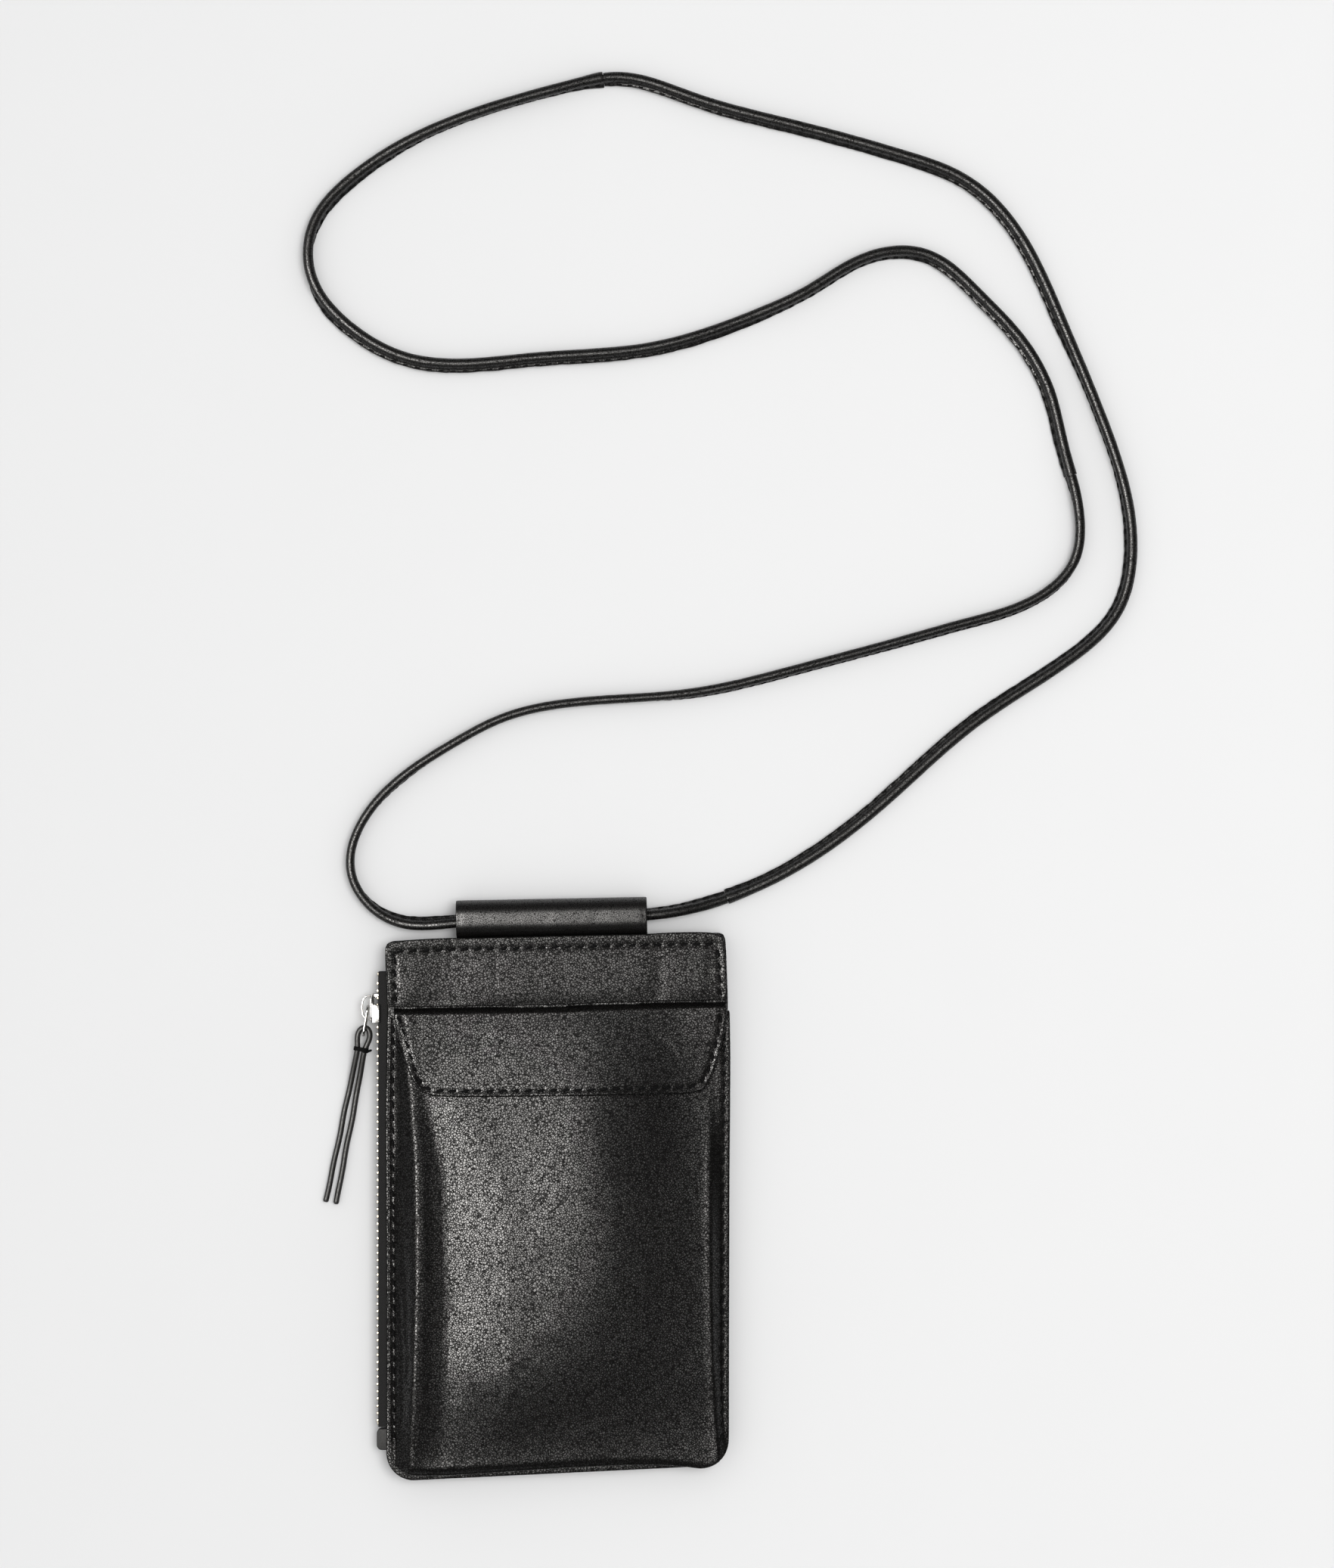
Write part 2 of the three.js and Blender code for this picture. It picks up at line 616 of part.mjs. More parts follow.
// ---------------------------------------------------------------- pull ring
// A rounded rectangle of wire that hangs from the slider. Lean: degrees from -Y
// towards -X.
const PULL = {
  x: -62.7, y: 66.6, z: 3.6,
  length: 9.8, halfWidth: 2.5, corner: 1.6, wireRadius: 0.43, lean: 8.7,
};
const hangingDirection = lean => polar([0, 0], 1, -90 - lean);
const PULL_DIRECTION = hangingDirection(PULL.lean);

function pullRing() {
  const { length, halfWidth, corner } = PULL;
  const [dx, dy] = PULL_DIRECTION;
  const side = halfWidth - corner;
  // [distance along the hanging direction, height from the ring's middle]
  const path = [
    ...arc([corner, side], corner, 180, 90, 3),
    ...arc([length - corner, side], corner, 90, 0, 3),
    ...arc([length - corner, -side], corner, 0, -90, 3),
    ...arc([corner, -side], corner, -90, -180, 3),
  ];
  return closedTube(path.map(([pathAlong, pathHeight], i) => {
    const before = path.at(i - 1);
    const after = path[(i + 1) % path.length];
    const stepAlong = after[0] - before[0];
    const stepHeight = after[1] - before[1];
    const step = Math.hypot(stepAlong, stepHeight);
    return Array.from({ length: 6 }, (_, k) => {
      // offsets in the plane of the ring and across it
      const [inPlane, across] = polar([0, 0], PULL.wireRadius, k * 60);
      const along = pathAlong - stepHeight / step * inPlane;
      const height = pathHeight + stepAlong / step * inPlane;
      return [
        PULL.x + dx * along - dy * across,
        PULL.y + dy * along + dx * across,
        PULL.z + height,
      ];
    });
  }));
}
add('pull_ring', pullRing(), steel);

// ---------------------------------------------------------------- tassel
const TASSEL = {
  x: PULL.x + PULL_DIRECTION[0] * PULL.length + 0.1,
  y: PULL.y + PULL_DIRECTION[1] * PULL.length,
  radius: 0.95, lean: 11.3, steps: 46,
};
// One half of the folded cord from the loop top to the tip:
// [distance along, distance across, z]
const TASSEL_HALF = [
  [-3.2, 0, 3.6], [-2.7, 1.2, 3.6], [-1.2, 2.1, 3.6], [0.6, 2.3, 3.6], [2.2, 1.8, 3.6],
  [3.6, 1.25, 3.6], [5.4, 1.1, 3.5], [8, 1.15, 3.0], [12, 1.25, 2.1], [17, 1.3, 1.3],
  [24, 1.45, 1.05], [36, 1.5, 1.05], [47, 1.6, 1.05], [56.6, 1.8, 1.05],
];
// Oblong band round both cords: start and end along the tassel
const BINDING = { along: [4.0, 5.6], z: 3.52 };

function onTassel(along, across, z) {
  const [dx, dy] = hangingDirection(TASSEL.lean);
  return [TASSEL.x + dx * along - dy * across, TASSEL.y + dy * along + dx * across, z];
}

// The cord runs up one side, through the pull ring and down the other side.
function tasselCord() {
  const line = [
    ...TASSEL_HALF.slice(1).reverse().map(([along, across, z]) => onTassel(along, -across, z)),
    ...TASSEL_HALF.map(point => onTassel(...point)),
  ].map(point => new THREE.Vector3(...point));
  const curve = new THREE.CatmullRomCurve3(line, false, 'centripetal');
  const up = new THREE.Vector3(0, 0, 1);
  return cappedTube(Array.from({ length: TASSEL.steps + 1 }, (_, i) => {
    const centre = curve.getPoint(i / TASSEL.steps);
    const tangent = curve.getTangent(i / TASSEL.steps);
    const sideways = new THREE.Vector3().crossVectors(up, tangent).normalize();
    const upwards = new THREE.Vector3().crossVectors(tangent, sideways);
    return Array.from({ length: 6 }, (_unused, k) => {
      const [side, rise] = polar([0, 0], TASSEL.radius, k * 60 + 30);
      return centre.clone().addScaledVector(sideways, side).addScaledVector(upwards, rise)
        .toArray();
    });
  }));
}

function tasselBinding() {
  const oblong = (halfSpacing, radius) => [
    ...arc([halfSpacing, 0], radius, -90, 90, 4),
    ...arc([-halfSpacing, 0], radius, 90, 270, 4),
  ];
  const outer = oblong(1.15, 1.6);
  const inner = oblong(1.2, 1.15);
  const rings = section => BINDING.along.map(along => section.map(
    ([across, height]) => onTassel(along, across, BINDING.z + height)));
  return hollowTube(rings(outer), rings(inner), outer, inner);
}

add('tassel_cord', tasselCord(), leather);
add('tassel_binding', tasselBinding(), thread);

// ---------------------------------------------------------------- neck strap
const STRAP = {
  length: 1321.15,              // once round the loop
  radius: 1.7,                  // where the table below gives none
  flange: 1.3, flangeHalf: 0.5, // reach past the cord and half thickness
  wall: 0.62,                   // cover thickness
  coreGap: 0.18,
  tunnel: [1250.9, 1314.1],     // distances at the left and right ends of the tunnel
  ramp: [2.6, 26.6],            // distances from the tunnel where the descent starts and ends
  clearance: 0.1,               // under the strap where it lies flat
  tangentStep: 1.5,
};
const JOINTS = { right: 19.6, top: 464.1, far: 904.0 };   // distances of the cover joints
const JOINT_HALF_GAP = 0.3;

// Strap centre line: [distance, x, y, flange angle, cord radius if not STRAP.radius].
// The flange angle is 0 when the flange points left of the walking direction, -90
// when it is underneath and -180 when it points right.
const LOOP = [
  [0, 36.6, 97.3, -44], [12.8, 49.2, 99.9, -29], [26.4, 62, 104.3, -15],
  [40.8, 75.1, 110.5, -14], [56.3, 88.3, 118.7, -13], [74, 102.3, 129.3, -12],
  [94, 117.3, 142.5, -11], [113.5, 131.9, 155.5, -12], [130.6, 145.6, 165.6, -21],
  [150.5, 162.3, 176.5, -32], [165.4, 174.4, 185.3, -34], [174.5, 180.9, 191.5, -35],
  [182, 185.1, 197.6, -35], [189.5, 187.8, 204.5, -36], [198.1, 189.3, 213.1, -37],
  [208.2, 189.3, 223.4, -41], [219.7, 187.6, 234.6, -50], [234.1, 183.7, 248.5, -58],
  [253.8, 176.8, 266.9, -58], [273.7, 169.2, 285.4, -37], [293.7, 161.4, 303.7, -17],
  [309, 154.6, 317.4, -15], [320.1, 148.3, 326.6, -14], [329.8, 141.7, 333.7, -13],
  [338.8, 134.6, 339.1, -14], [348.3, 126.2, 343.3, -19], [364.1, 111.1, 348.2, -28],
  [384, 91.8, 353.7, -25], [404, 72.6, 358.6, -20], [423.9, 53.3, 363.6, -11],
  [441.5, 36.6, 369.3, -6], [452.2, 26.3, 372.4, -7], [460, 18.7, 373.1, -17],
  [468.4, 10.5, 372, -39], [485.8, -6.4, 367.5, -64], [505.7, -25.5, 361.8, -65],
  [523, -41.6, 355.7, -62], [537.5, -54.5, 349.2, -48], [550.6, -65.4, 341.9, -34],
  [561, -73.5, 335, -32], [568.7, -78.4, 329, -39], [575.4, -81.2, 323.1, -54],
  [581.8, -82.5, 316.9, -72], [588.3, -82.2, 310.6, -94], [594.7, -80.4, 304.6, -120],
  [601.6, -76.9, 298.8, -147], [609.9, -71.1, 292.7, -166], [619.6, -63.2, 286.6, -170],
  [628.8, -55, 282.3, -171], [637.5, -46.9, 279.7, -171], [647.1, -37.5, 278.6, -172],
  [660.1, -24.6, 278.9, -172], [679.8, -4.7, 280.8, -173], [699.8, 15.2, 282.1, -174],
  [715.7, 30.8, 284, -172], [730.2, 44.9, 287.4, -168], [748.7, 62.5, 293.7, -155],
  [765.8, 78.1, 300.3, -132], [779.5, 89.9, 307.2, -129], [790.3, 99.4, 312.6, -129],
  [798.2, 107, 315.1, -132], [805.3, 114, 315.8, -144], [811.7, 120.2, 315, -157],
  [818.1, 125.9, 312.6, -166], [826, 132.2, 307.9, -172], [842, 143.9, 296.4, -173],
  [855.5, 152.8, 286.5, -173], [865.9, 158.4, 277.8, -167], [875.8, 162.4, 268.8, -158],
  [889.3, 165.8, 255.6, -150], [907.9, 170.3, 237.8, -120, 1.67],
  [918.5, 172.1, 227.1, -94, 1.64], [925.9, 171.9, 219.5, -79, 1.63],
  [932.1, 170.4, 213.7, -69, 1.61], [938.1, 167.4, 208.8, -61, 1.57],
  [944.8, 162.7, 204.2, -57, 1.54], [952.9, 155.7, 200, -54, 1.49],
  [963.3, 146, 196.1, -51, 1.48], [981.3, 128.6, 191.4, -49, 1.48],
  [1001.2, 109.4, 186, -52, 1.47], [1021.2, 90.2, 180.8, -55, 1.47],
  [1041.1, 70.9, 175.6, -56, 1.47], [1060.6, 52, 171.2, -55, 1.47],
  [1077.3, 35.5, 168.9, -66, 1.47], [1097.2, 15.6, 167.5, -89, 1.46],
  [1114.6, -1.7, 165.8, -100, 1.46], [1126.6, -13.4, 163.2, -100, 1.46],
  [1137.3, -23.3, 159.4, -100, 1.46], [1153.1, -37.1, 151.7, -84, 1.46],
  [1168.1, -49.8, 143.4, -65, 1.45], [1178.5, -57.6, 136.6, -66, 1.45],
  [1187.2, -63.1, 129.8, -78, 1.45], [1194.8, -66.7, 123.1, -94, 1.45],
  [1201.3, -68.4, 117, -101, 1.45], [1207.3, -68.4, 111.2, -98, 1.46],
  [1213.2, -66.6, 105.6, -84, 1.49], [1219.2, -63.1, 100.6, -64, 1.52],
  [1225.3, -58.3, 96.6, -45, 1.55], [1231.3, -52.9, 94.1, -29, 1.58],
  [1238, -46.4, 93.1, -17, 1.6], [1248.4, -36, 93.8, -11, 1.61],
  [1262.9, -21.5, 94.6, -16, 1.64], [1282.5, -1.9, 95.2, -25, 1.67],
  [1302.1, 17.7, 95.9, -35, 1.69], [1316.6, 32.1, 96.7, -43, 1.7],
];

// Sections are [left, up] points for a cord radius, before the flange angle turns them.
const circlePoints = (radius, angles) => angles.map(angle => polar([0, 0], radius, angle));
const hexagon = radius => circlePoints(radius, [0, 60, 120, 180, 240, 300]);
const coverSection = radius => [
  [radius + STRAP.flange, -STRAP.flangeHalf],
  [radius + STRAP.flange, STRAP.flangeHalf],
  ...circlePoints(radius, [30, 70, 110, 150, 210, 250, 290, 330]),
];
const boreSection = radius => hexagon(radius - STRAP.wall);
const coreSection = radius => hexagon(radius - STRAP.wall - STRAP.coreGap);
const threadSection = radius => [
  [radius + 0.55, 0.85], [radius + 0.95, 0.85], [radius + 0.95, 1.1], [radius + 0.55, 1.1],
];

function turnedSection(section, { radius, angle }) {
  const cos = Math.cos(degToRad(angle));
  const sin = Math.sin(degToRad(angle));
  return section(radius).map(([left, up]) => [left * cos - up * sin, left * sin + up * cos]);
}

const wrap = distance => ((distance % STRAP.length) + STRAP.length) % STRAP.length;

// Height of the centre line: on the tunnel axis inside, then down to lie flat.
function strapHeight(distance, place) {
  const lowest = Math.min(...turnedSection(coverSection, place).map(([, up]) => up));
  const [tunnelLeft, tunnelRight] = STRAP.tunnel;
  const inside = distance >= tunnelLeft && distance <= tunnelRight;
  const away = Math.min(wrap(distance - tunnelRight), wrap(tunnelLeft - distance));
  const descent = inside ? 0 : smoothstep(away, ...STRAP.ramp);
  return lerp(TUNNEL.z, STRAP.clearance - lowest, descent);
}

function strapAt(anyDistance) {
  const distance = wrap(anyDistance);
  const i = LOOP.findLastIndex(row => row[0] <= distance);
  const [start, x0, y0, angle0, radius0 = STRAP.radius] = LOOP[i];
  const [end, x1, y1, angle1, radius1 = STRAP.radius] = LOOP[(i + 1) % LOOP.length];
  const share = (distance - start) / wrap(end - start);
  const place = {
    x: lerp(x0, x1, share),
    y: lerp(y0, y1, share),
    angle: lerp(angle0, angle1, share),
    radius: lerp(radius0, radius1, share),
  };
  return { ...place, z: strapHeight(distance, place) };
}

function strapRing(distance, section) {
  const place = strapAt(distance);
  const before = strapAt(distance - STRAP.tangentStep);
  const after = strapAt(distance + STRAP.tangentStep);
  const forward = new THREE.Vector3().subVectors(after, before).normalize();
  const leftward = new THREE.Vector3(-forward.y, forward.x, 0).normalize();
  const upward = new THREE.Vector3().crossVectors(forward, leftward);
  return turnedSection(section, place).map(([left, up]) => new THREE.Vector3()
    .copy(place).addScaledVector(leftward, left).addScaledVector(upward, up).toArray());
}

// Covers, core and thread share one list of ring distances, cover ends included.
const STATIONS = [
  ...LOOP.map(row => row[0]),
  ...Object.values(JOINTS).flatMap(at => [at - JOINT_HALF_GAP, at + JOINT_HALF_GAP]),
].sort((a, b) => a - b);

function strapCover(fromJoint, toJoint) {
  const start = fromJoint + JOINT_HALF_GAP;
  const end = toJoint - JOINT_HALF_GAP;
  const slack = 0.01;           // keeps the end stations in despite rounding
  const stations = [...STATIONS, ...STATIONS.map(distance => distance + STRAP.length)]
    .filter(distance => distance > start - slack && distance < end + slack);
  const rings = section => stations.map(distance => strapRing(distance, section));
  const first = strapAt(start);
  return hollowTube(rings(coverSection), rings(boreSection),
    turnedSection(coverSection, first), turnedSection(boreSection, first));
}

const fullLoop = section => closedTube(STATIONS.map(distance => strapRing(distance, section)));

add('strap_cover_right', strapCover(JOINTS.right, JOINTS.top), leather);
add('strap_cover_upper', strapCover(JOINTS.top, JOINTS.far), leather);
add('strap_cover_lower', strapCover(JOINTS.far, JOINTS.right + STRAP.length), leather);
add('strap_core', fullLoop(coreSection), webbing);
add('strap_thread', fullLoop(threadSection), thread);

export default group;
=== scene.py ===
# Looks of the neck pouch wallet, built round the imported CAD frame. Millimetre
# numbers are turned into metres when a mesh is made. "Plan" coordinates are those
# seen from the camera on the z = 0 plane; plan() moves a raised point to its place.
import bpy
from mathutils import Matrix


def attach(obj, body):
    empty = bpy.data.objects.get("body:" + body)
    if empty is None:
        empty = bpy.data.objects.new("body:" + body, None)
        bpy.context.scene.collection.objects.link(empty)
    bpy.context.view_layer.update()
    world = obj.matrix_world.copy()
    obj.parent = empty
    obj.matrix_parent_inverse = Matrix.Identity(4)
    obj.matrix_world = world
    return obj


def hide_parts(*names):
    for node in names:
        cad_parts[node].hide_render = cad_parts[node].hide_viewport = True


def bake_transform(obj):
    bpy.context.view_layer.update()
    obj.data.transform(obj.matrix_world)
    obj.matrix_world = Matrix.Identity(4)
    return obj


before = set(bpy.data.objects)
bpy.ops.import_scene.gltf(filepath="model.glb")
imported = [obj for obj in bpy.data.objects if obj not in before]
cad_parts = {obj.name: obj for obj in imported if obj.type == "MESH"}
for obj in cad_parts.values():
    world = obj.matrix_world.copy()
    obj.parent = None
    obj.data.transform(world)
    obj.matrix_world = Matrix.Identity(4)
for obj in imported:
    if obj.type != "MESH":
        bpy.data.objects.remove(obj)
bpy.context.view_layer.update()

import math
import bpy
import numpy as np
from mathutils import Vector

RNG = np.random.RandomState(7)
CAM = (35.875, 139.75, 1439.6)          # camera place, mm
MM = 0.001


# ------------------------------------------------------------------ maths
def X(px):
    return (np.asarray(px, float) - 738.5) * 0.25


def Y(py):
    return (1595.5 - np.asarray(py, float)) * 0.25


def plan(x, y, z):
    k = (CAM[2] - np.asarray(z)) / CAM[2]
    return CAM[0] + (np.asarray(x) - CAM[0]) * k, CAM[1] + (np.asarray(y) - CAM[1]) * k, np.asarray(z)


def smooth(t):
    t = np.clip(t, 0, 1)
    return t * t * (3 - 2 * t)


def lerp(a, b, t):
    return a + (b - a) * t


def table(rows, q):
    r = np.array(rows, float)
    r = r[np.argsort(r[:, 0])]
    return np.interp(q, r[:, 0], r[:, 1])


def spline_m(xk):
    n = len(xk)
    h = np.diff(xk)
    A = np.eye(n)
    B = np.zeros((n, n))
    for i in range(1, n - 1):
        A[i, i - 1], A[i, i], A[i, i + 1] = h[i - 1], 2 * (h[i - 1] + h[i]), h[i]
        B[i, i - 1], B[i, i], B[i, i + 1] = 6 / h[i - 1], -6 / h[i - 1] - 6 / h[i], 6 / h[i]
    return np.linalg.solve(A, B)


def spline(xk, yk, q):
    """Natural cubic spline. yk is (n,) or (n, m) with one column per query."""
    xk, yk = np.asarray(xk, float), np.asarray(yk, float)
    q = np.clip(q, xk[0], xk[-1])
    M = spline_m(xk) @ yk
    i = np.clip(np.searchsorted(xk, q, side="right") - 1, 0, len(xk) - 2)
    h = xk[i + 1] - xk[i]
    a, b = (xk[i + 1] - q) / h, (q - xk[i]) / h
    if yk.ndim == 1:
        y0, y1, m0, m1 = yk[i], yk[i + 1], M[i], M[i + 1]
    else:
        c = np.arange(yk.shape[1])
        y0, y1, m0, m1 = yk[i, c], yk[i + 1, c], M[i, c], M[i + 1, c]
    return a * y0 + b * y1 + ((a ** 3 - a) * m0 + (b ** 3 - b) * m1) * h * h / 6


def lattice(xs, ys, Z, xq, yq):
    """Smooth surface through a table of heights, rows by ys and columns by xs."""
    shape = np.shape(xq)
    xq, yq = np.ravel(xq), np.ravel(yq)
    order = np.argsort(ys)
    ys, Z = np.asarray(ys, float)[order], np.asarray(Z, float)[order]
    G = np.array([spline(ys, Z[:, j], yq) for j in range(len(xs))])
    return spline(np.asarray(xs, float), G, xq).reshape(shape)


def resample(p, n, smooth_it=True):
    """n points at even spacing along a smooth curve through the points p."""
    p = np.asarray(p, float)
    d = np.r_[0, np.cumsum(np.linalg.norm(np.diff(p, axis=0), axis=1))]
    q = np.linspace(0, d[-1], max(400, 30 * len(p)))
    c = np.stack([np.interp(q, d, p[:, k]) for k in range(p.shape[1])], 1)
    if smooth_it and len(p) > 2:
        for _ in range(3):              # round the corners off a little, ends kept
            w = max(2, int(0.35 * len(q) / len(p)))
            e = np.concatenate([2 * c[0] - c[w:0:-1], c, 2 * c[-1] - c[-2:-w - 2:-1]])
            k = np.ones(2 * w + 1) / (2 * w + 1)
            c = np.stack([np.convolve(e[:, j], k, "valid") for j in range(p.shape[1])], 1)
    e = np.r_[0, np.cumsum(np.linalg.norm(np.diff(c, axis=0), axis=1))]
    t = np.linspace(0, e[-1], n)
    return np.stack([np.interp(t, e, c[:, k]) for k in range(p.shape[1])], 1)


def coons(bottom, right, top, left, nu, nv, round_off=True):
    """A grid (nv, nu, 2) filled between four border curves."""
    u = np.linspace(0, 1, nu)
    v = np.linspace(0, 1, nv)

    def along(curve, t):
        c = resample(curve, 400, round_off)
        s = np.linspace(0, 1, 400)
        return np.stack([np.interp(t, s, c[:, 0]), np.interp(t, s, c[:, 1])], 1)
    b, t = along(bottom, u), along(top, u)
    l, r = along(left, v), along(right, v)
    U, V = np.meshgrid(u, v)
    U, V = U[..., None], V[..., None]
    P = (1 - V) * b[None] + V * t[None] + (1 - U) * l[:, None] + U * r[:, None]
    P -= (1 - U) * (1 - V) * b[0] + U * (1 - V) * b[-1] + (1 - U) * V * t[0] + U * V * t[-1]
    return P


def px(points):
    a = np.array(points, float)
    return np.stack([X(a[:, 0]), Y(a[:, 1])], 1)


def noise2(x, y, scale, seed=0, octaves=3):
    """Smooth value noise in about -1..1, the same each run."""
    out = np.zeros(np.shape(x))
    amp, tot = 1.0, 0.0
    for o in range(octaves):
        r = np.random.RandomState(seed * 17 + o)
        g = r.uniform(-1, 1, (64, 64))
        fx, fy = np.asarray(x) / scale * 2 ** o + 100, np.asarray(y) / scale * 2 ** o + 100
        ix, iy = np.floor(fx).astype(int), np.floor(fy).astype(int)
        tx, ty = smooth(fx - ix), smooth(fy - iy)
        a, b = g[iy % 64, ix % 64], g[iy % 64, (ix + 1) % 64]
        c, d = g[(iy + 1) % 64, ix % 64], g[(iy + 1) % 64, (ix + 1) % 64]
        out += amp * (lerp(a, b, tx) * (1 - ty) + lerp(c, d, tx) * ty)
        tot += amp
        amp *= 0.5
    return out / tot


# ------------------------------------------------------------------ meshes
def make(name, verts, faces, mat, body=None, replaces=(), smooth_shade=True, angle=None):
    """A mesh object from mm points. body=None leaves it without a parent."""
    me = bpy.data.meshes.new(name)
    me.from_pydata((np.asarray(verts, float) * MM).tolist(), [], [list(map(int, f)) for f in faces])
    me.validate()
    me.update()
    if smooth_shade:
        me.polygons.foreach_set("use_smooth", [True] * len(me.polygons))
    if angle is not None:
        me.set_sharp_from_angle(angle=math.radians(angle))
    ob = bpy.data.objects.new(name, me)
    bpy.context.scene.collection.objects.link(ob)
    me.materials.append(mat)
    if body:
        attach(ob, body)
    if replaces:
        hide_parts(*replaces)
    return ob


def grid_faces(nv, nu, off=0, flip=False):
    j, i = np.meshgrid(np.arange(nv - 1), np.arange(nu - 1), indexing="ij")
    a = off + j * nu + i
    f = np.stack([a, a + 1, a + nu + 1, a + nu], -1).reshape(-1, 4)
    return f[:, ::-1] if flip else f


def rim_loop(nv, nu):
    """Indices of a grid's border, anticlockwise for a grid whose u is +X and v is +Y."""
    return np.r_[np.arange(nu), np.arange(1, nv) * nu + nu - 1, (nv - 1) * nu + np.arange(nu - 2, -1, -1), np.arange(nv - 2, 0, -1) * nu]


def slab(P, zt, zb, r=0.5, k=4, r_low=None, plane=True):
    """Closed sheet with rounded edges. P is a (nv, nu, 2) plan grid inset by r from
    the outline; zt and zb are the top and bottom heights. Returns verts and faces."""
    nv, nu = P.shape[:2]
    r_low = r if r_low is None else r_low
    top = np.dstack([P, zt]).reshape(-1, 3)
    bot = np.dstack([P, zb]).reshape(-1, 3)
    loop = rim_loop(nv, nu)
    L = top[loop, :2]
    t = np.roll(L, -1, 0) - np.roll(L, 1, 0)
    n = np.stack([t[:, 1], -t[:, 0]], 1)
    n /= np.maximum(np.linalg.norm(n, axis=1), 1e-9)[:, None]
    for _ in range(3):
        n = (np.roll(n, 1, 0) + 2 * n + np.roll(n, -1, 0))
        n /= np.linalg.norm(n, axis=1)[:, None]
    zt_l, zb_l = top[loop, 2], bot[loop, 2]
    thick = zt_l - zb_l
    rt, rb = np.minimum(r, thick * 0.49), np.minimum(r_low, thick * 0.49)
    rings = []
    for q in range(1, k + 1):
        a = math.pi / 2 * q / k
        rings.append(np.c_[L + n * (r * math.sin(a)), zt_l - rt * (1 - math.cos(a))])
    for q in range(k, 0, -1):
        a = math.pi / 2 * q / k
        rings.append(np.c_[L + n * (r * math.sin(a)), zb_l + rb * (1 - math.cos(a))])
    V = [top, bot] + rings
    N = nv * nu
    m = len(loop)
    faces = [grid_faces(nv, nu), grid_faces(nv, nu, N, True)]
    prev = loop
    for q in range(len(rings)):
        cur = 2 * N + q * m + np.arange(m)
        faces.append(np.stack([prev, cur, np.roll(cur, -1), np.roll(prev, -1)], 1))
        prev = cur
    last = N + loop
    faces.append(np.stack([prev, last, np.roll(last, -1), np.roll(prev, -1)], 1))
    V = np.concatenate(V)
    F = np.concatenate(faces)[:, ::-1]
    # orientation: the top must face up
    V = V.copy()
    if plane:
        x, y, z = plan(V[:, 0], V[:, 1], V[:, 2])
        V = np.stack([x, y, z], 1)
    return V, fix_up(V, F, N)


def fix_up(V, F, N):
    q = V[F[0]]
    up = np.cross(q[1] - q[0], q[2] - q[0])[2]
    return F if up > 0 else F[:, ::-1]


def merge(parts):
    V, F, off = [], [], 0
    for v, f in parts:
        V.append(np.asarray(v, float))
        F += [[int(i) + off for i in face] for face in f]
        off += len(v)
    return np.concatenate(V), F


def frames(P, closed=False):
    P = np.asarray(P, float)
    T = (np.roll(P, -1, 0) - np.roll(P, 1, 0)) if closed else np.gradient(P, axis=0)
    T /= np.maximum(np.linalg.norm(T, axis=1), 1e-9)[:, None]
    B = np.stack([-T[:, 1], T[:, 0], np.zeros(len(T))], 1)
    bad = np.linalg.norm(B, axis=1) < 1e-4
    B[bad] = [1, 0, 0]
    B /= np.linalg.norm(B, axis=1)[:, None]
    U = np.cross(T, B)
    return T, B, U


def sweep(P, sections, closed=False, fr=None):
    """Rings along P. sections is (m, 2) or (n, m, 2), as (left, up) offsets in mm."""
    P = np.asarray(P, float)
    n = len(P)
    S = np.asarray(sections, float)
    if S.ndim == 2:
        S = np.repeat(S[None], n, 0)
    T, B, U = fr if fr is not None else frames(P, closed)
    V = P[:, None] + B[:, None] * S[..., :1] + U[:, None] * S[..., 1:]
    m = S.shape[1]
    F = []
    R = n if closed else n - 1
    i = np.arange(m)
    for k in range(R):
        a, b = k * m, ((k + 1) % n) * m
        F.append(np.stack([a + i, a + (i + 1) % m, b + (i + 1) % m, b + i], 1))
    F = np.concatenate(F)[:, ::-1].tolist() if S[0, 0, 0] is not None else F
    if not closed:
        F.append(list(range(m)))
        F.append([(n - 1) * m + q for q in range(m)][::-1])
    V = V.reshape(-1, 3)
    if volume(V, F) < 0:
        F = [f[::-1] for f in F]
    return V, F


def volume(V, F):
    s = 0.0
    for f in F[:: max(1, len(F) // 4000)]:
        a = V[f[0]]
        for k in range(1, len(f) - 1):
            s += np.dot(a, np.cross(V[f[k]], V[f[k + 1]]))
    return s


def ellipse(a, b, n=12, rot=0.0):
    t = np.arange(n) * 2 * math.pi / n + rot
    return np.stack([a * np.cos(t), b * np.sin(t)], 1)


def stitch(p, q, up, r=0.32, sink=0.25, n=7, m=8):
    """One thread stitch between two holes: a fat dash whose ends dive into the leather."""
    p, q, up = np.asarray(p, float), np.asarray(q, float), np.asarray(up, float)
    t = np.linspace(0, 1, n)
    c = p[None] * (1 - t)[:, None] + q[None] * t[:, None]
    c = c - up[None] * (sink * np.abs(2 * t - 1) ** 3)[:, None]
    d = (q - p) / np.linalg.norm(q - p)
    side = np.cross(up, d)
    side /= np.linalg.norm(side)
    nrm = np.cross(d, side)
    rad = r * np.sqrt(np.clip(1 - np.abs(2 * t - 1) ** 4, 0.04, 1))
    a = np.arange(m) * 2 * math.pi / m
    V = c[:, None] + rad[:, None, None] * (np.cos(a)[None, :, None] * side + 0.8 * np.sin(a)[None, :, None] * nrm)
    V = V.reshape(-1, 3)
    F = []
    for k in range(n - 1):
        for i in range(m):
            j = (i + 1) % m
            F.append([k * m + i, k * m + j, (k + 1) * m + j, (k + 1) * m + i])
    F.append(list(range(m))[::-1])
    F.append([(n - 1) * m + i for i in range(m)])
    return V, F


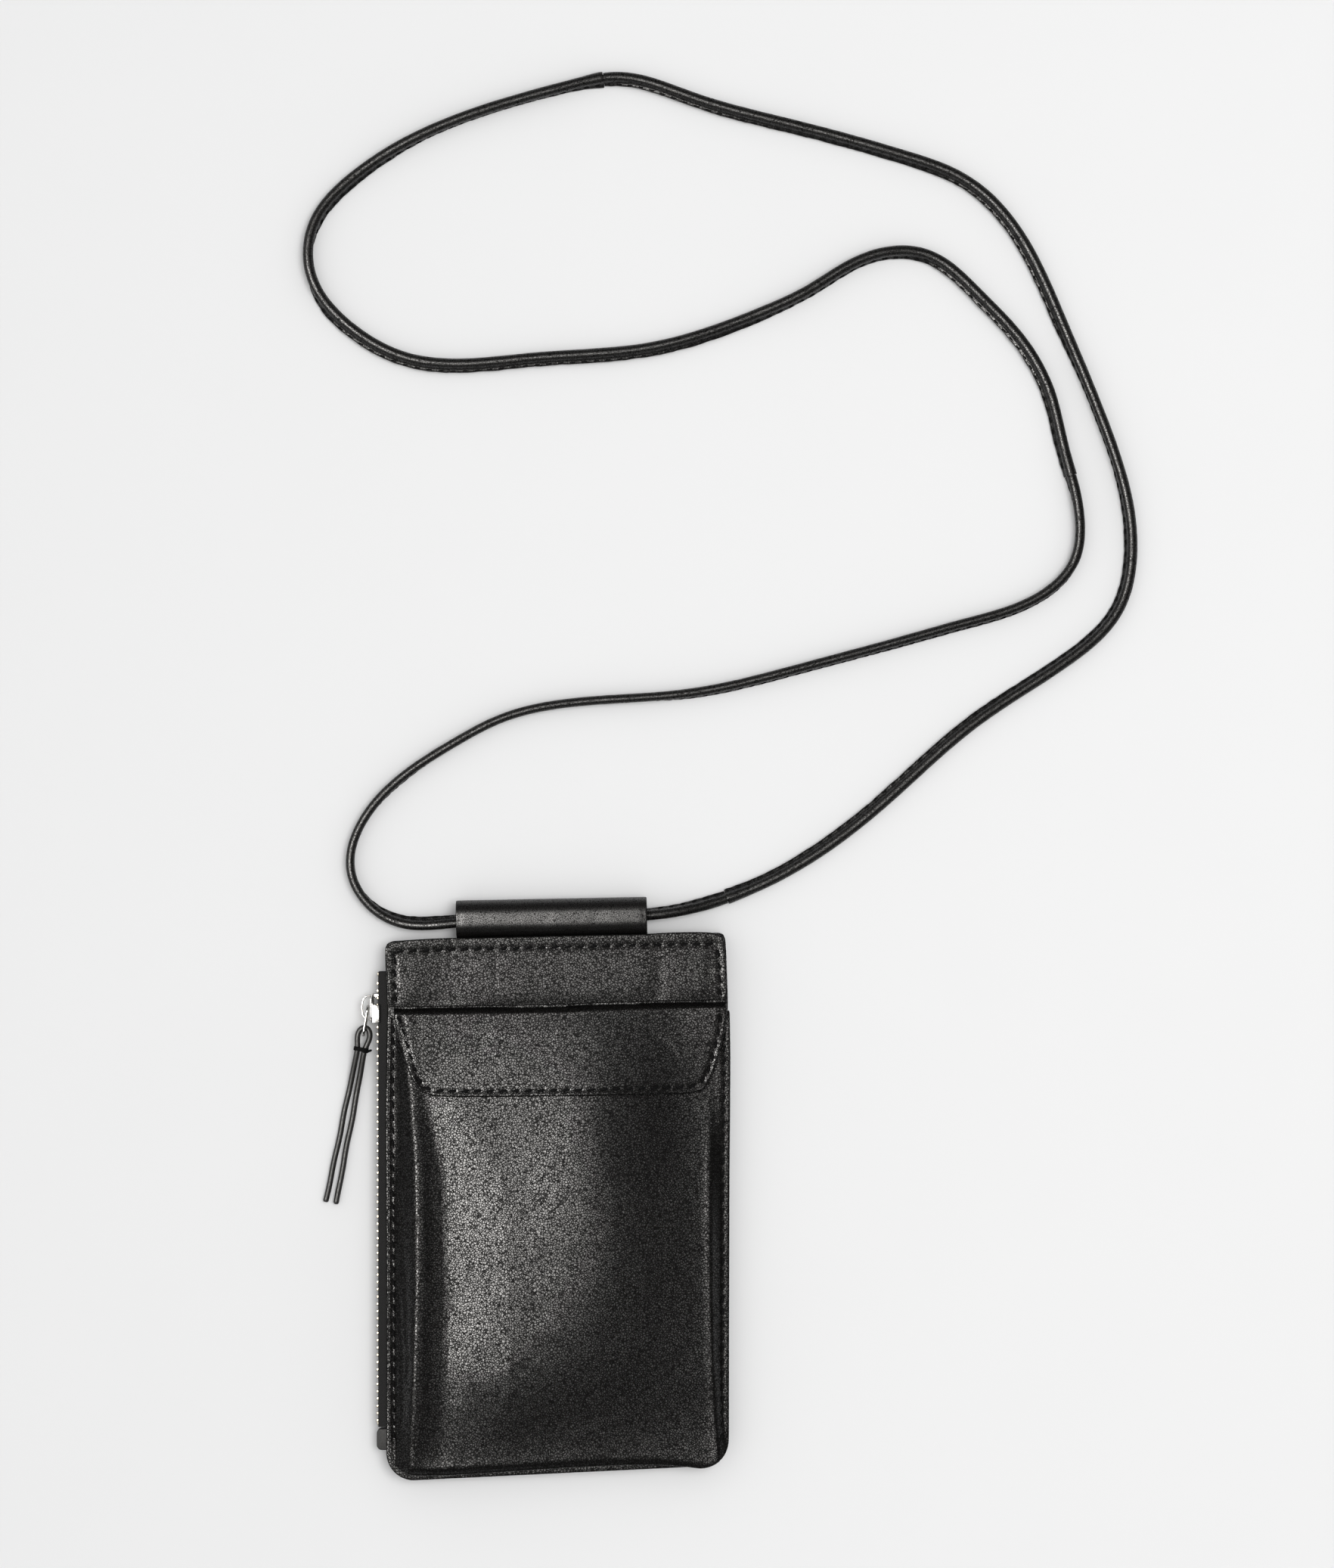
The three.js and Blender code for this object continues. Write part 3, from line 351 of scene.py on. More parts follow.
def stitch_row(line, zf, pitch=4.2, length=2.7, r=0.33, slant=0.28, lift=0.05, plane=True, sink=0.3):
    """Stitches along a plan polyline; zf gives the leather height under them."""
    line = resample(line, 600, False)
    d = np.r_[0, np.cumsum(np.linalg.norm(np.diff(line, axis=0), axis=1))]
    n = max(1, int(round(d[-1] / pitch)))
    step = d[-1] / n
    parts = []
    for k in range(n):
        s0 = (k + 0.5) * step - length / 2
        s1 = s0 + length
        a = np.array([np.interp(s0, d, line[:, c]) for c in (0, 1)])
        b = np.array([np.interp(s1, d, line[:, c]) for c in (0, 1)])
        t = (b - a) / np.linalg.norm(b - a)
        nn = np.array([-t[1], t[0]])
        a, b = a - nn * slant / 2, b + nn * slant / 2
        za, zb = float(zf(a[0], a[1])), float(zf(b[0], b[1]))
        p3 = np.array([a[0], a[1], za + lift])
        q3 = np.array([b[0], b[1], zb + lift])
        if plane:
            p3, q3 = np.array(plan(*p3)), np.array(plan(*q3))
        parts.append(stitch(p3, q3, (0, 0, 1), r, sink))
    return parts


def dash_phase(line, x, y, pitch=4.2):
    """Distance from a plan polyline and a 0..1 phase of the stitch under each point."""
    line = resample(line, 400, False)
    d = np.r_[0, np.cumsum(np.linalg.norm(np.diff(line, axis=0), axis=1))]
    n = max(1, int(round(d[-1] / pitch)))
    step = d[-1] / n
    shape = np.shape(x)
    q = np.stack([np.ravel(x), np.ravel(y)], 1)
    best = np.full(len(q), 1e9)
    pos = np.zeros(len(q))
    lo, hi = line.min(0) - 4, line.max(0) + 4
    near = np.where((q >= lo).all(1) & (q <= hi).all(1))[0]
    for s in range(0, len(near), 20000):
        ii = near[s:s + 20000]
        dd = ((q[ii, None] - line[None]) ** 2).sum(-1)
        k = dd.argmin(1)
        best[ii] = np.sqrt(dd[np.arange(len(ii)), k])
        pos[ii] = d[k]
    return best.reshape(shape), ((pos / step) % 1.0).reshape(shape)


def seam_dent(line, x, y, depth=0.4, width=0.75, pitch=4.2, length=2.7):
    """How far the leather is pulled down along a stitched line."""
    dist, ph = dash_phase(line, x, y, pitch)
    on = 1 - smooth((np.abs(ph - 0.5) - length / pitch / 2 + 0.06) / 0.12)
    return depth * np.exp(-(dist / width) ** 2) * (0.6 + 0.4 * on)


# ------------------------------------------------------------------ materials
class Net:
    """A few shortcuts for a material's node tree."""

    def __init__(self, name):
        self.m = bpy.data.materials.new(name)
        self.m.use_nodes = True
        self.t = self.m.node_tree
        self.b = self.t.nodes["Principled BSDF"]
        tc = self.t.nodes.new("ShaderNodeTexCoord")
        sc = self.t.nodes.new("ShaderNodeVectorMath")
        sc.operation = "SCALE"
        sc.inputs["Scale"].default_value = 1000.0
        self.t.links.new(tc.outputs["Object"], sc.inputs[0])
        self.mm = sc.outputs[0]

    def put(self, socket, v):
        if isinstance(v, bpy.types.NodeSocket):
            self.t.links.new(v, socket)
        elif v is not None:
            socket.default_value = v

    def math(self, op, a, b=None, c=None, clamp=False):
        n = self.t.nodes.new("ShaderNodeMath")
        n.operation = op
        n.use_clamp = clamp
        for i, v in enumerate((a, b, c)):
            self.put(n.inputs[i], v)
        return n.outputs[0]

    def noise(self, scale, detail=3, rough=0.5, vec=None, distortion=0.0):
        n = self.t.nodes.new("ShaderNodeTexNoise")
        self.put(n.inputs["Vector"], vec or self.mm)
        n.inputs["Scale"].default_value = scale
        n.inputs["Detail"].default_value = detail
        n.inputs["Roughness"].default_value = rough
        n.inputs["Distortion"].default_value = distortion
        return n.outputs[0]

    def voronoi(self, scale, feature="DISTANCE_TO_EDGE", vec=None, rand=1.0):
        n = self.t.nodes.new("ShaderNodeTexVoronoi")
        n.feature = feature
        self.put(n.inputs["Vector"], vec or self.mm)
        n.inputs["Scale"].default_value = scale
        n.inputs["Randomness"].default_value = rand
        return n.outputs["Distance"]

    def warp(self, scale, amount, vec=None):
        vec = vec or self.mm
        n = self.t.nodes.new("ShaderNodeTexNoise")
        self.put(n.inputs["Vector"], vec)
        n.inputs["Scale"].default_value = scale
        n.inputs["Detail"].default_value = 2
        s = self.t.nodes.new("ShaderNodeVectorMath")
        s.operation = "SUBTRACT"
        self.put(s.inputs[0], n.outputs[1])
        s.inputs[1].default_value = (0.5, 0.5, 0.5)
        k = self.t.nodes.new("ShaderNodeVectorMath")
        k.operation = "SCALE"
        self.put(k.inputs[0], s.outputs[0])
        k.inputs["Scale"].default_value = amount
        a = self.t.nodes.new("ShaderNodeVectorMath")
        a.operation = "ADD"
        self.put(a.inputs[0], vec)
        self.put(a.inputs[1], k.outputs[0])
        return a.outputs[0]

    def stretch(self, sx, sy, sz, rot=0.0, vec=None):
        n = self.t.nodes.new("ShaderNodeMapping")
        self.put(n.inputs["Vector"], vec or self.mm)
        n.inputs["Rotation"].default_value = (0, 0, math.radians(rot))
        n.inputs["Scale"].default_value = (sx, sy, sz)
        return n.outputs[0]

    def ramp(self, v, lo, hi, a=0.0, b=1.0, kind="SMOOTHSTEP"):
        n = self.t.nodes.new("ShaderNodeMapRange")
        n.interpolation_type = kind
        self.put(n.inputs["Value"], v)
        n.inputs["From Min"].default_value = lo
        n.inputs["From Max"].default_value = hi
        n.inputs["To Min"].default_value = a
        n.inputs["To Max"].default_value = b
        return n.outputs["Result"]

    def mix(self, f, a, b):
        n = self.t.nodes.new("ShaderNodeMix")
        n.data_type = "RGBA"
        self.put(n.inputs[0], f)
        self.put(n.inputs[6], a if isinstance(a, bpy.types.NodeSocket) else (*a, 1))
        self.put(n.inputs[7], b if isinstance(b, bpy.types.NodeSocket) else (*b, 1))
        return n.outputs[2]

    def bump(self, h, distance_mm, strength=1.0, normal=None):
        n = self.t.nodes.new("ShaderNodeBump")
        n.inputs["Strength"].default_value = strength
        n.inputs["Distance"].default_value = distance_mm * MM
        self.put(n.inputs["Height"], h)
        if normal is not None:
            self.put(n.inputs["Normal"], normal)
        return n.outputs[0]

    def xyz(self, vec=None):
        n = self.t.nodes.new("ShaderNodeSeparateXYZ")
        self.put(n.inputs[0], vec or self.mm)
        return n.outputs

    def done(self, color=None, rough=None, metal=0.0, normal=None, spec=0.5, sheen=0.0, coat=0.0):
        b = self.b.inputs
        self.put(b["Base Color"], color if isinstance(color, bpy.types.NodeSocket) else (*color, 1))
        self.put(b["Roughness"], rough)
        b["Metallic"].default_value = metal
        if spec is not None:
            b["Specular IOR Level"].default_value = spec
        if sheen:
            b["Sheen Weight"].default_value = sheen
            b["Sheen Roughness"].default_value = 0.5
        if coat:
            b["Coat Weight"].default_value = coat
            b["Coat Roughness"].default_value = 0.35
        if normal is not None:
            self.put(b["Normal"], normal)
        return self.m


def leather(name, cell=1.1, depth=0.034, base=(0.0058, 0.0054, 0.0051), rough=(0.26, 0.56), wrinkle=0.003, fine=0.0012, stretch=(1, 1, 1), rot=0, spec=0.5, crack=0.32):
    """Black pebbled leather: flat-topped cells with creases between them, pores and soft wrinkles. The creases carry
    painted shade: darker colour and a lower specular level there.
    """
    n = Net(name)
    v = n.stretch(*stretch, rot)
    w = n.warp(0.5 / cell, 0.8 * cell, v)
    w2 = n.warp(1.7 / cell, 0.30 * cell, w)
    big = n.noise(0.13, 3, 0.55, v)
    dist = n.voronoi(1.0 / cell, vec=w2)
    e1 = n.ramp(dist, 0.0, 0.10)
    e2 = n.ramp(n.voronoi(2.1 / cell, vec=w2), 0.0, 0.11)
    f1 = n.noise(4.0, 2, 0.5, v)
    tone = n.noise(2.6 / cell, 1, 0.5, w)
    wr = n.noise(0.5 / cell, 3, 0.55, w)
    amt = n.ramp(big, 0.35, 0.68, 0.80, 1.05)
    h = n.math("MULTIPLY", e1, n.math("MULTIPLY", amt, 0.66))
    h = n.math("ADD", h, n.math("MULTIPLY", e2, 0.30))
    nm = n.bump(wr, wrinkle * 3)
    nm = n.bump(h, depth, normal=nm)
    nm = n.bump(f1, fine, normal=nm)
    # painted shade: lit is 1 on the cell tops and falls to 0 in the creases; the colour goes from base*1.1 on the tops
    # to base*0.5 in the creases, and the specular level drops with it
    lit = n.math("MULTIPLY", n.ramp(dist, 0.0, crack), n.ramp(h, 0.3, 0.9, 0.65, 1.0))
    col = n.mix(lit, tuple(c * 0.5 for c in base), tuple(c * 1.1 for c in base))
    r = n.math("ADD", n.ramp(h, 0.05, 0.85, rough[1], rough[0]), n.ramp(big, 0.3, 0.7, -0.01, 0.015, "LINEAR"))
    sp = n.math("MULTIPLY", n.ramp(lit, 0.0, 0.95, 0.06, spec * 1.22), n.ramp(tone, 0.3, 0.7, 0.78, 1.18))
    n.put(n.b.inputs["Specular IOR Level"], sp)
    return n.done(col, r, normal=nm, spec=None)


def edge_leather(name, base=(0.008, 0.0075, 0.0072)):
    n = Net(name)
    f = n.noise(3.0, 4, 0.6, n.stretch(1, 1, 2.5))
    g = n.noise(0.5, 3)
    nm = n.bump(f, 0.12)
    return n.done(n.mix(g, tuple(c * 0.6 for c in base), tuple(c * 1.6 for c in base)), n.ramp(f, 0.3, 0.7, 0.5, 0.68), normal=nm, spec=0.4)


def thread(name, base=(0.0030, 0.0030, 0.0032)):
    n = Net(name)
    s = n.xyz(n.warp(1.2, 0.1))
    t = n.math("ADD", n.math("MULTIPLY", s[0], 9.0), n.math("MULTIPLY", s[1], 9.0))
    w = n.math("SINE", n.math("ADD", t, n.math("MULTIPLY", s[2], 5.0)))
    f = n.noise(9.0, 2)
    nm = n.bump(n.math("ADD", n.math("MULTIPLY", w, 0.5), f), 0.05)
    return n.done(n.mix(f, tuple(c * 0.6 for c in base), tuple(c * 1.9 for c in base)), n.ramp(f, 0.3, 0.7, 0.55, 0.75), normal=nm, spec=0.07)


def fabric(name, base=(0.012, 0.012, 0.012), pitch=0.45):
    """Plain woven lining cloth."""
    n = Net(name)
    s = n.xyz(n.warp(0.7, 0.12))
    k = 2 * math.pi / pitch
    a = n.math("SINE", n.math("MULTIPLY", s[0], k))
    b = n.math("SINE", n.math("MULTIPLY", s[1], k))
    h = n.math("MULTIPLY", a, b)
    f = n.noise(6.0, 3)
    nm = n.bump(n.math("ADD", n.math("MULTIPLY", h, 0.5), n.math("MULTIPLY", f, 0.4)), 0.08)
    return n.done(n.mix(n.ramp(h, -0.6, 0.8), tuple(c * 0.5 for c in base), tuple(c * 1.6 for c in base)), n.ramp(f, 0.2, 0.8, 0.75, 0.92), normal=nm, spec=0.3, sheen=0.1)


def herringbone(name, base=(0.006, 0.006, 0.0063), pitch=0.62, band=2.2):
    """Woven zip tape: slanted ribs that turn back in bands."""
    n = Net(name)
    s = n.xyz(n.warp(0.9, 0.08))
    u = n.math("PINGPONG", s[0], band)
    v = n.math("ADD", s[1], n.math("MULTIPLY", u, 1.1))
    w = n.math("SINE", n.math("MULTIPLY", v, 2 * math.pi / pitch))
    f = n.noise(7.0, 2)
    h = n.math("ADD", n.math("MULTIPLY", w, 0.6), n.math("MULTIPLY", f, 0.5))
    nm = n.bump(h, 0.12)
    return n.done(n.mix(n.ramp(h, -0.5, 0.9), tuple(c * 0.5 for c in base), tuple(c * 1.9 for c in base)), n.ramp(f, 0.2, 0.8, 0.62, 0.85), normal=nm, spec=0.35)


def metal(name, base, rough, scratch=0.012, mottle=0.0):
    n = Net(name)
    f = n.noise(0.9, 4, 0.6)
    g = n.noise(6.0, 3, 0.6, n.stretch(1, 0.25, 1))
    col = n.mix(n.ramp(f, 0.3, 0.7), base, tuple(c * (1 - mottle) for c in base))
    nm = n.bump(g, scratch)
    r = n.math("ADD", n.ramp(f, 0.3, 0.7, rough * 0.75, rough * 1.2), n.ramp(g, 0.3, 0.8, 0.0, 0.06))
    return n.done(col, r, metal=1.0, normal=nm)


def cord(name, base=(0.012, 0.0115, 0.011)):
    """Waxed round leather lace: fine lengthwise fibres."""
    n = Net(name)
    f = n.noise(5.0, 3, 0.6, n.stretch(1, 0.2, 1, -11))
    g = n.noise(1.1, 3)
    nm = n.bump(f, 0.05)
    return n.done(n.mix(f, tuple(c * 0.6 for c in base), tuple(c * 1.6 for c in base)), n.ramp(g, 0.3, 0.7, 0.36, 0.52), normal=nm)


M_POCKET = leather("leather_pocket", cell=0.78)
M_FLAP = leather("leather_flap", cell=0.80)
M_YOKE = leather("leather_yoke", cell=0.80, spec=0.41)
M_PANEL = leather("leather_panel", cell=0.95)
M_TUNNEL = leather("leather_tunnel", cell=0.6, depth=0.014, rough=(0.30, 0.5), spec=0.52, crack=0.10)
M_EDGE = edge_leather("leather_edge")
M_STRAP = leather("leather_strap", cell=0.8, depth=0.026, rough=(0.30, 0.58), spec=0.52, crack=0.12)
M_THREAD = thread("thread_black")
M_LINING = fabric("lining_cloth")
M_TAPE = herringbone("zip_tape_weave")
M_TOOTH = metal("zip_tooth_nickel", (0.36, 0.33, 0.27), 0.32, 0.02, 0.3)
M_SLIDER = metal("slider_nickel", (0.74, 0.73, 0.71), 0.15, 0.008, 0.08)
M_STEEL = metal("spring_steel", (0.55, 0.55, 0.54), 0.3, 0.02, 0.1)
M_MAGNET = metal("magnet_nickel", (0.50, 0.50, 0.49), 0.28, 0.02, 0.15)
M_CORD = cord("tassel_lace")
M_CORE = cord("core_cord", (0.02, 0.02, 0.02))


# ------------------------------------------------------------------ flat panels
def arc(cx, cy, r, a0, a1, n=14):
    t = np.radians(np.linspace(a0, a1, n))
    return np.stack([cx + r * np.cos(t), cy + r * np.sin(t)], 1)


def offset(poly, d):
    """A closed anticlockwise outline moved inwards by d."""
    p = np.asarray(poly, float)
    t = np.roll(p, -1, 0) - np.roll(p, 1, 0)
    n = np.stack([-t[:, 1], t[:, 0]], 1)
    n /= np.maximum(np.linalg.norm(n, axis=1), 1e-9)[:, None]
    return p + n * d


def sides(poly, corners, d=0.0):
    """Bottom, right, top, left runs of an anticlockwise outline between four corners."""
    p = offset(poly, d) if d else np.asarray(poly, float)
    n = len(p)

    def run(a, b):
        i = [a]
        while i[-1] != b:
            i.append((i[-1] + 1) % n)
        return p[i]
    bl, br, tr, tl = corners
    return run(bl, br), run(br, tr), run(tr, tl)[::-1], run(tl, bl)[::-1]


bottomY = lambda x: lerp(-89.6, -84.7, (np.asarray(x, float) + 47.8) / 94.3)
BL, BR = arc(-47.4, -80.3, 9.1, 180, 267, 15), arc(46.6, -75.4, 9.4, 273, 360, 15)
RIGHT = np.array([[55.95, -60], [55.9, -40], [55.95, -5], [56.0, 30], [55.9, 50], [55.9, 70], [55.4, 84]], float)
TOP = np.array([[55.1, 88.6], [54.5, 90.0], [53.2, 90.65], [42, 90.4], [30, 90.1], [12, 89.7], [-5, 89.3], [-20, 89.0], [-37, 88.75], [-45, 88.5], [-54.6, 87.9], [-56.2, 87.2], [-56.9, 85.6]], float)
LEFT = np.array([[-56.9, 82], [-56.5, 74], [-56.2, 66], [-56.5, 48], [-56.8, 30], [-56.6, -5], [-56.4, -40], [-56.45, -60]], float)
PANEL = np.concatenate([BL[7:], BR, RIGHT, TOP, LEFT, BL[:7]])
PANEL_CORNERS = (0, 8 + 7, 8 + 15 + 7 + 1, 8 + 15 + 7 + 11)


def panel_sheet(name, z0, z1, inset, cell, mat, body, reps, r=0.5, wave=0.05, seed=1, dent=None):
    b, ri, t, l = sides(PANEL, PANEL_CORNERS, inset + r)
    P = coons(b, ri, t, l, int(113 / cell), int(178 / cell), False)
    w = wave * noise2(P[..., 0], P[..., 1], 22, seed)
    top, bot = np.full(P.shape[:2], float(z1)) - np.abs(w), np.full(P.shape[:2], float(z0)) + 0 * w
    if dent is not None:
        top, bot = dent(P, top, bot)
    V, F = slab(P, top, bot, r=r, k=4, plane=False)
    return make(name, V, F, mat, body, reps), P


def back_dent(P, top, bot):
    d = seam_dent(offset(PANEL, 2.3)[:41], P[..., 0], P[..., 1], 0.35, 0.8)
    soft = 0.12 * (0.5 + 0.5 * noise2(P[..., 0], P[..., 1], 30, 9))
    inner = smooth((np.minimum(56 - np.abs(P[..., 0]), np.minimum(P[..., 1] + 86, 89 - P[..., 1])) - 4) / 12)
    return top, bot + d + soft * inner


back, _ = panel_sheet("back_panel_leather", 0.0, 1.2, 0.0, 0.8, M_PANEL, "pouch", ["back_panel"], 0.5, 0.0, 1, back_dent)
front, _ = panel_sheet("front_panel_leather", 5.8, 7.0, 0.0, 1.2, M_PANEL, "pouch", ["front_panel"], 0.5, 0.0, 2)

# stitches of the back seam, set into the leather so that the back still lies flat
parts = []
for v, f in stitch_row(offset(PANEL, 2.3)[:41], lambda x, y: 0.0, 4.2, 2.6, 0.26, 0.25, 0.0, plane=False, sink=0.0):
    v = v.copy()
    v[:, 2] = 0.30 + v[:, 2] * 0.9
    parts.append((v, f))
BACK_STITCHES = parts

# linings of the zipped compartment
LP = np.array([[-48.4, -80.2], [46.5, -80.2], [51.0, -74], [51.4, 60], [50.9, 79.4], [-48.4, 79.4]])
g = coons(LP[[0, 1]] + [[.1, .1], [0, .1]], LP[[1, 2, 3, 4]] + [[-.1, .1], [-.1, 0], [-.1, 0], [-.1, -.1]], LP[[5, 4]] + [[.1, -.1], [-.1, -.1]], LP[[0, 5]] + [[.1, .1], [.1, -.1]], 60, 90, False)
for nm, z0, z1, rep in (("lining_back", 1.27, 1.43, "back_lining"), ("lining_front", 5.57, 5.73, "front_lining")):
    V, F = slab(g, np.full(g.shape[:2], z1), np.full(g.shape[:2], z0), r=0.07, k=2, plane=False)
    make(nm, V, F, M_LINING, "pouch", [rep])


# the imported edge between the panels: stacked turned edges of the same leather
def strip(name, outer, rep, width=3.9, layers=4):
    """Stacked leather edges along an open outline, set in a little and not quite even."""
    parts = []
    o = resample(outer, max(60, int(np.linalg.norm(np.diff(outer, axis=0), axis=1).sum() / 1.1)), False)
    t = np.gradient(o, axis=0)
    n = np.stack([-t[:, 1], t[:, 0]], 1)
    n /= np.linalg.norm(n, axis=1)[:, None]
    z = np.linspace(1.32, 5.68, layers + 1)
    for k in range(layers):
        z0, z1 = z[k] + 0.02, z[k + 1] - 0.02
        dx = 0.18 + 0.16 * ((k * 7) % 3) / 2 + 0.10 * noise2(o[:, 0], o[:, 1] + 31 * k, 9, 40 + k)
        r = (z1 - z0) / 2 - 0.03
        sec = []
        for q in range(7):
            a = -math.pi / 2 + math.pi * q / 6
            sec.append((math.cos(a) * r, (z0 + z1) / 2 + math.sin(a) * r))
        ring = []
        for c, zz in sec:
            ring.append(np.c_[o + n * (dx + r - c)[:, None], np.full(len(o), zz)])
        ring.append(np.c_[o + n * (width - 0.2), np.full(len(o), z1 - 0.03)])
        ring.append(np.c_[o + n * (width - 0.2), np.full(len(o), z0 + 0.03)])
        V = np.stack(ring, 1)
        m = V.shape[1]
        F = []
        i = np.arange(m)
        for q in range(len(o) - 1):
            a, b = q * m, (q + 1) * m
            F += np.stack([a + i, a + (i + 1) % m, b + (i + 1) % m, b + i], 1).tolist()
        F += [list(range(m))[::-1], [(len(o) - 1) * m + q for q in range(m)]]
        V = V.reshape(-1, 3)
        if volume(V, F) < 0:
            F = [f[::-1] for f in F]
        parts.append((V, F))
    V, F = merge(parts)
    return make(name, V, F, M_EDGE, "pouch", [rep])


closed = np.concatenate([[[-48.6, float(bottomY(-48.6)) + 0.02]], BL[13:], BR, RIGHT, TOP[:9]])
strip("edge_stack_closed_sides", closed, "edge_strip_closed_sides")
strip("edge_stack_top_left", np.array([[-37.6, 88.75], [-45, 88.5], [-54.4, 87.9]]), "edge_strip_top_left")


# ------------------------------------------------------------------ yoke
def creaseP(x):
    return table([(-60, 65.5), (-53.4, 65.63), (-30, 65.95), (0.4, 66.38), (12.9, 67.0), (30, 67.45), (52.9, 67.88), (60, 67.98)], x)


YOKE_TOP = px([(512.2, 1249.5), (515, 1246.2), (520, 1244.4), (530, 1243.2), (560, 1241.4), (590, 1240.2), (640, 1239.2), (700, 1237.8), (760, 1236.4), (820, 1235.2), (860, 1234.6), (875, 1233.2), (905, 1232.3), (945, 1232.2), (952, 1233.4), (956.5, 1237.5)])
YOKE_LEFT = px([(513.4, 1332.0), (513.4, 1318), (512.4, 1300), (511.0, 1280), (510.4, 1262), (512.2, 1249.5)])
YOKE_RIGHT = px([(961.6, 1322.6), (961.6, 1310), (961, 1284), (959.3, 1266), (958.0, 1252), (956.5, 1237.5)])
YOKE_BOTTOM = np.stack([np.linspace(float(X(513.4)), float(X(961.6)), 60), creaseP(np.linspace(float(X(513.4)), float(X(961.6)), 60)) - 0.05], 1)
STITCH_TOP = px([(521, 1258.2), (560, 1257.0), (640, 1254.6), (740, 1252.2), (840, 1249.6), (900, 1248.6), (947, 1248.0)])
STITCH_YL = px([(522.5, 1262), (522.0, 1290), (523.5, 1328)])
STITCH_YR = px([(949.5, 1252), (952, 1290), (953.0, 1320)])


def yoke_z(x, y):
    """Top surface of the yoke in plan coordinates."""
    x, y = np.asarray(x, float), np.asarray(y, float)
    z = np.full(np.shape(x), 9.0)
    gx = lambda a, b: (np.asarray(x) - X(a)) / ((b - a) * 0.25)
    body = smooth((y - creaseP(x)) / 2.5) * smooth((91 - y) / 6)
    z -= 0.50 * np.exp(-((x - X(584)) / np.where(x > X(584), 11.0, 6.5)) ** 2) * body * smooth((89 - y) / 9)
    z -= 0.24 * np.exp(-((x - X(871)) / 3.2) ** 2) * body
    z -= 0.18 * np.exp(-((x - X(941)) / 2.2) ** 2) * body
    z -= 0.08 * np.exp(-((x - X(596)) / 1.1) ** 2) * smooth((y - Y(1300)) / 8)
    z -= 0.07 * np.exp(-((x - X(655)) / 1.1) ** 2) * body
    z += 0.14 * noise2(x, y, 16, 3) * body + 0.05 * noise2(x, y, 4.5, 4) * body
    for line in (STITCH_TOP, STITCH_YL, STITCH_YR):
        z -= seam_dent(line, x, y, 0.30, 0.95)
    # puffed leather between the seam and the edge
    t = np.clip((y - creaseP(x)) / 9.0, 0, 1)
    z -= 0.95 * (1 - np.sqrt(1 - (1 - t) ** 2.4 * 0.96))
    return z


b = YOKE_BOTTOM + [0, 0.55]
R0 = 0.5
yp = coons(b + np.linspace([R0, 0], [-R0, 0], len(b)), YOKE_RIGHT + [-R0, 0] + np.c_[np.zeros(6), np.linspace(0.5, -R0, 6)],
           YOKE_TOP + np.c_[np.linspace(R0, -R0, len(YOKE_TOP)), -R0 * np.ones(len(YOKE_TOP))],
           YOKE_LEFT + [R0, 0] + np.c_[np.zeros(6), np.linspace(0.5, -R0, 6)], 250, 56)
yt = yoke_z(yp[..., 0], yp[..., 1])
V, F = slab(yp, yt, np.full(yt.shape, 7.8), r=R0, k=5)
make("yoke_leather", V, F, M_YOKE, "pouch", ["yoke_panel"])
parts = []
for line, ln in ((STITCH_TOP, 2.6), (STITCH_YL, 2.5), (STITCH_YR, 2.5)):
    parts += stitch_row(line, yoke_z, 4.2, ln, 0.40, 0.45, 0.22)
# the knot where the two rows meet at the corner
for cx, cy in ((519.5, 1258.5), (518, 1262)):
    v, f = stitch(np.array(plan(X(cx), Y(cy), 8.9)), np.array(plan(X(cx) + 1.3, Y(cy) - 0.4, 8.95)), (0, 0, 1), 0.42, 0.1)
    parts.append((v, f))
V, F = merge(parts)
make("yoke_stitches", V, F, M_THREAD, "pouch", ["yoke_thread"])


# ------------------------------------------------------------------ front pocket
def XLp(y):
    return table([(-91, -56.05), (-60, -56.25), (-40, -56.3), (0, -56.45), (30, -56.5), (48, -56.3), (66, -56.0)], y)


def XRp(y):
    return table([(-91, 56.3), (-75, 56.35), (-40, 56.4), (10, 56.55), (30, 56.75), (50, 56.85), (66, 56.6)], y)


def YBp(x):
    """Bottom edge of the pocket's flange in plan."""
    return table([(X(505), Y(1951.0)), (X(545), Y(1951.5)), (X(590), Y(1951)), (X(640), Y(1948)), (X(700), Y(1944)), (X(760), Y(1940)), (X(830), Y(1937)), (X(875), Y(1937)), (X(905), Y(1939)), (X(935), Y(1943)), (X(960), Y(1946))], x)


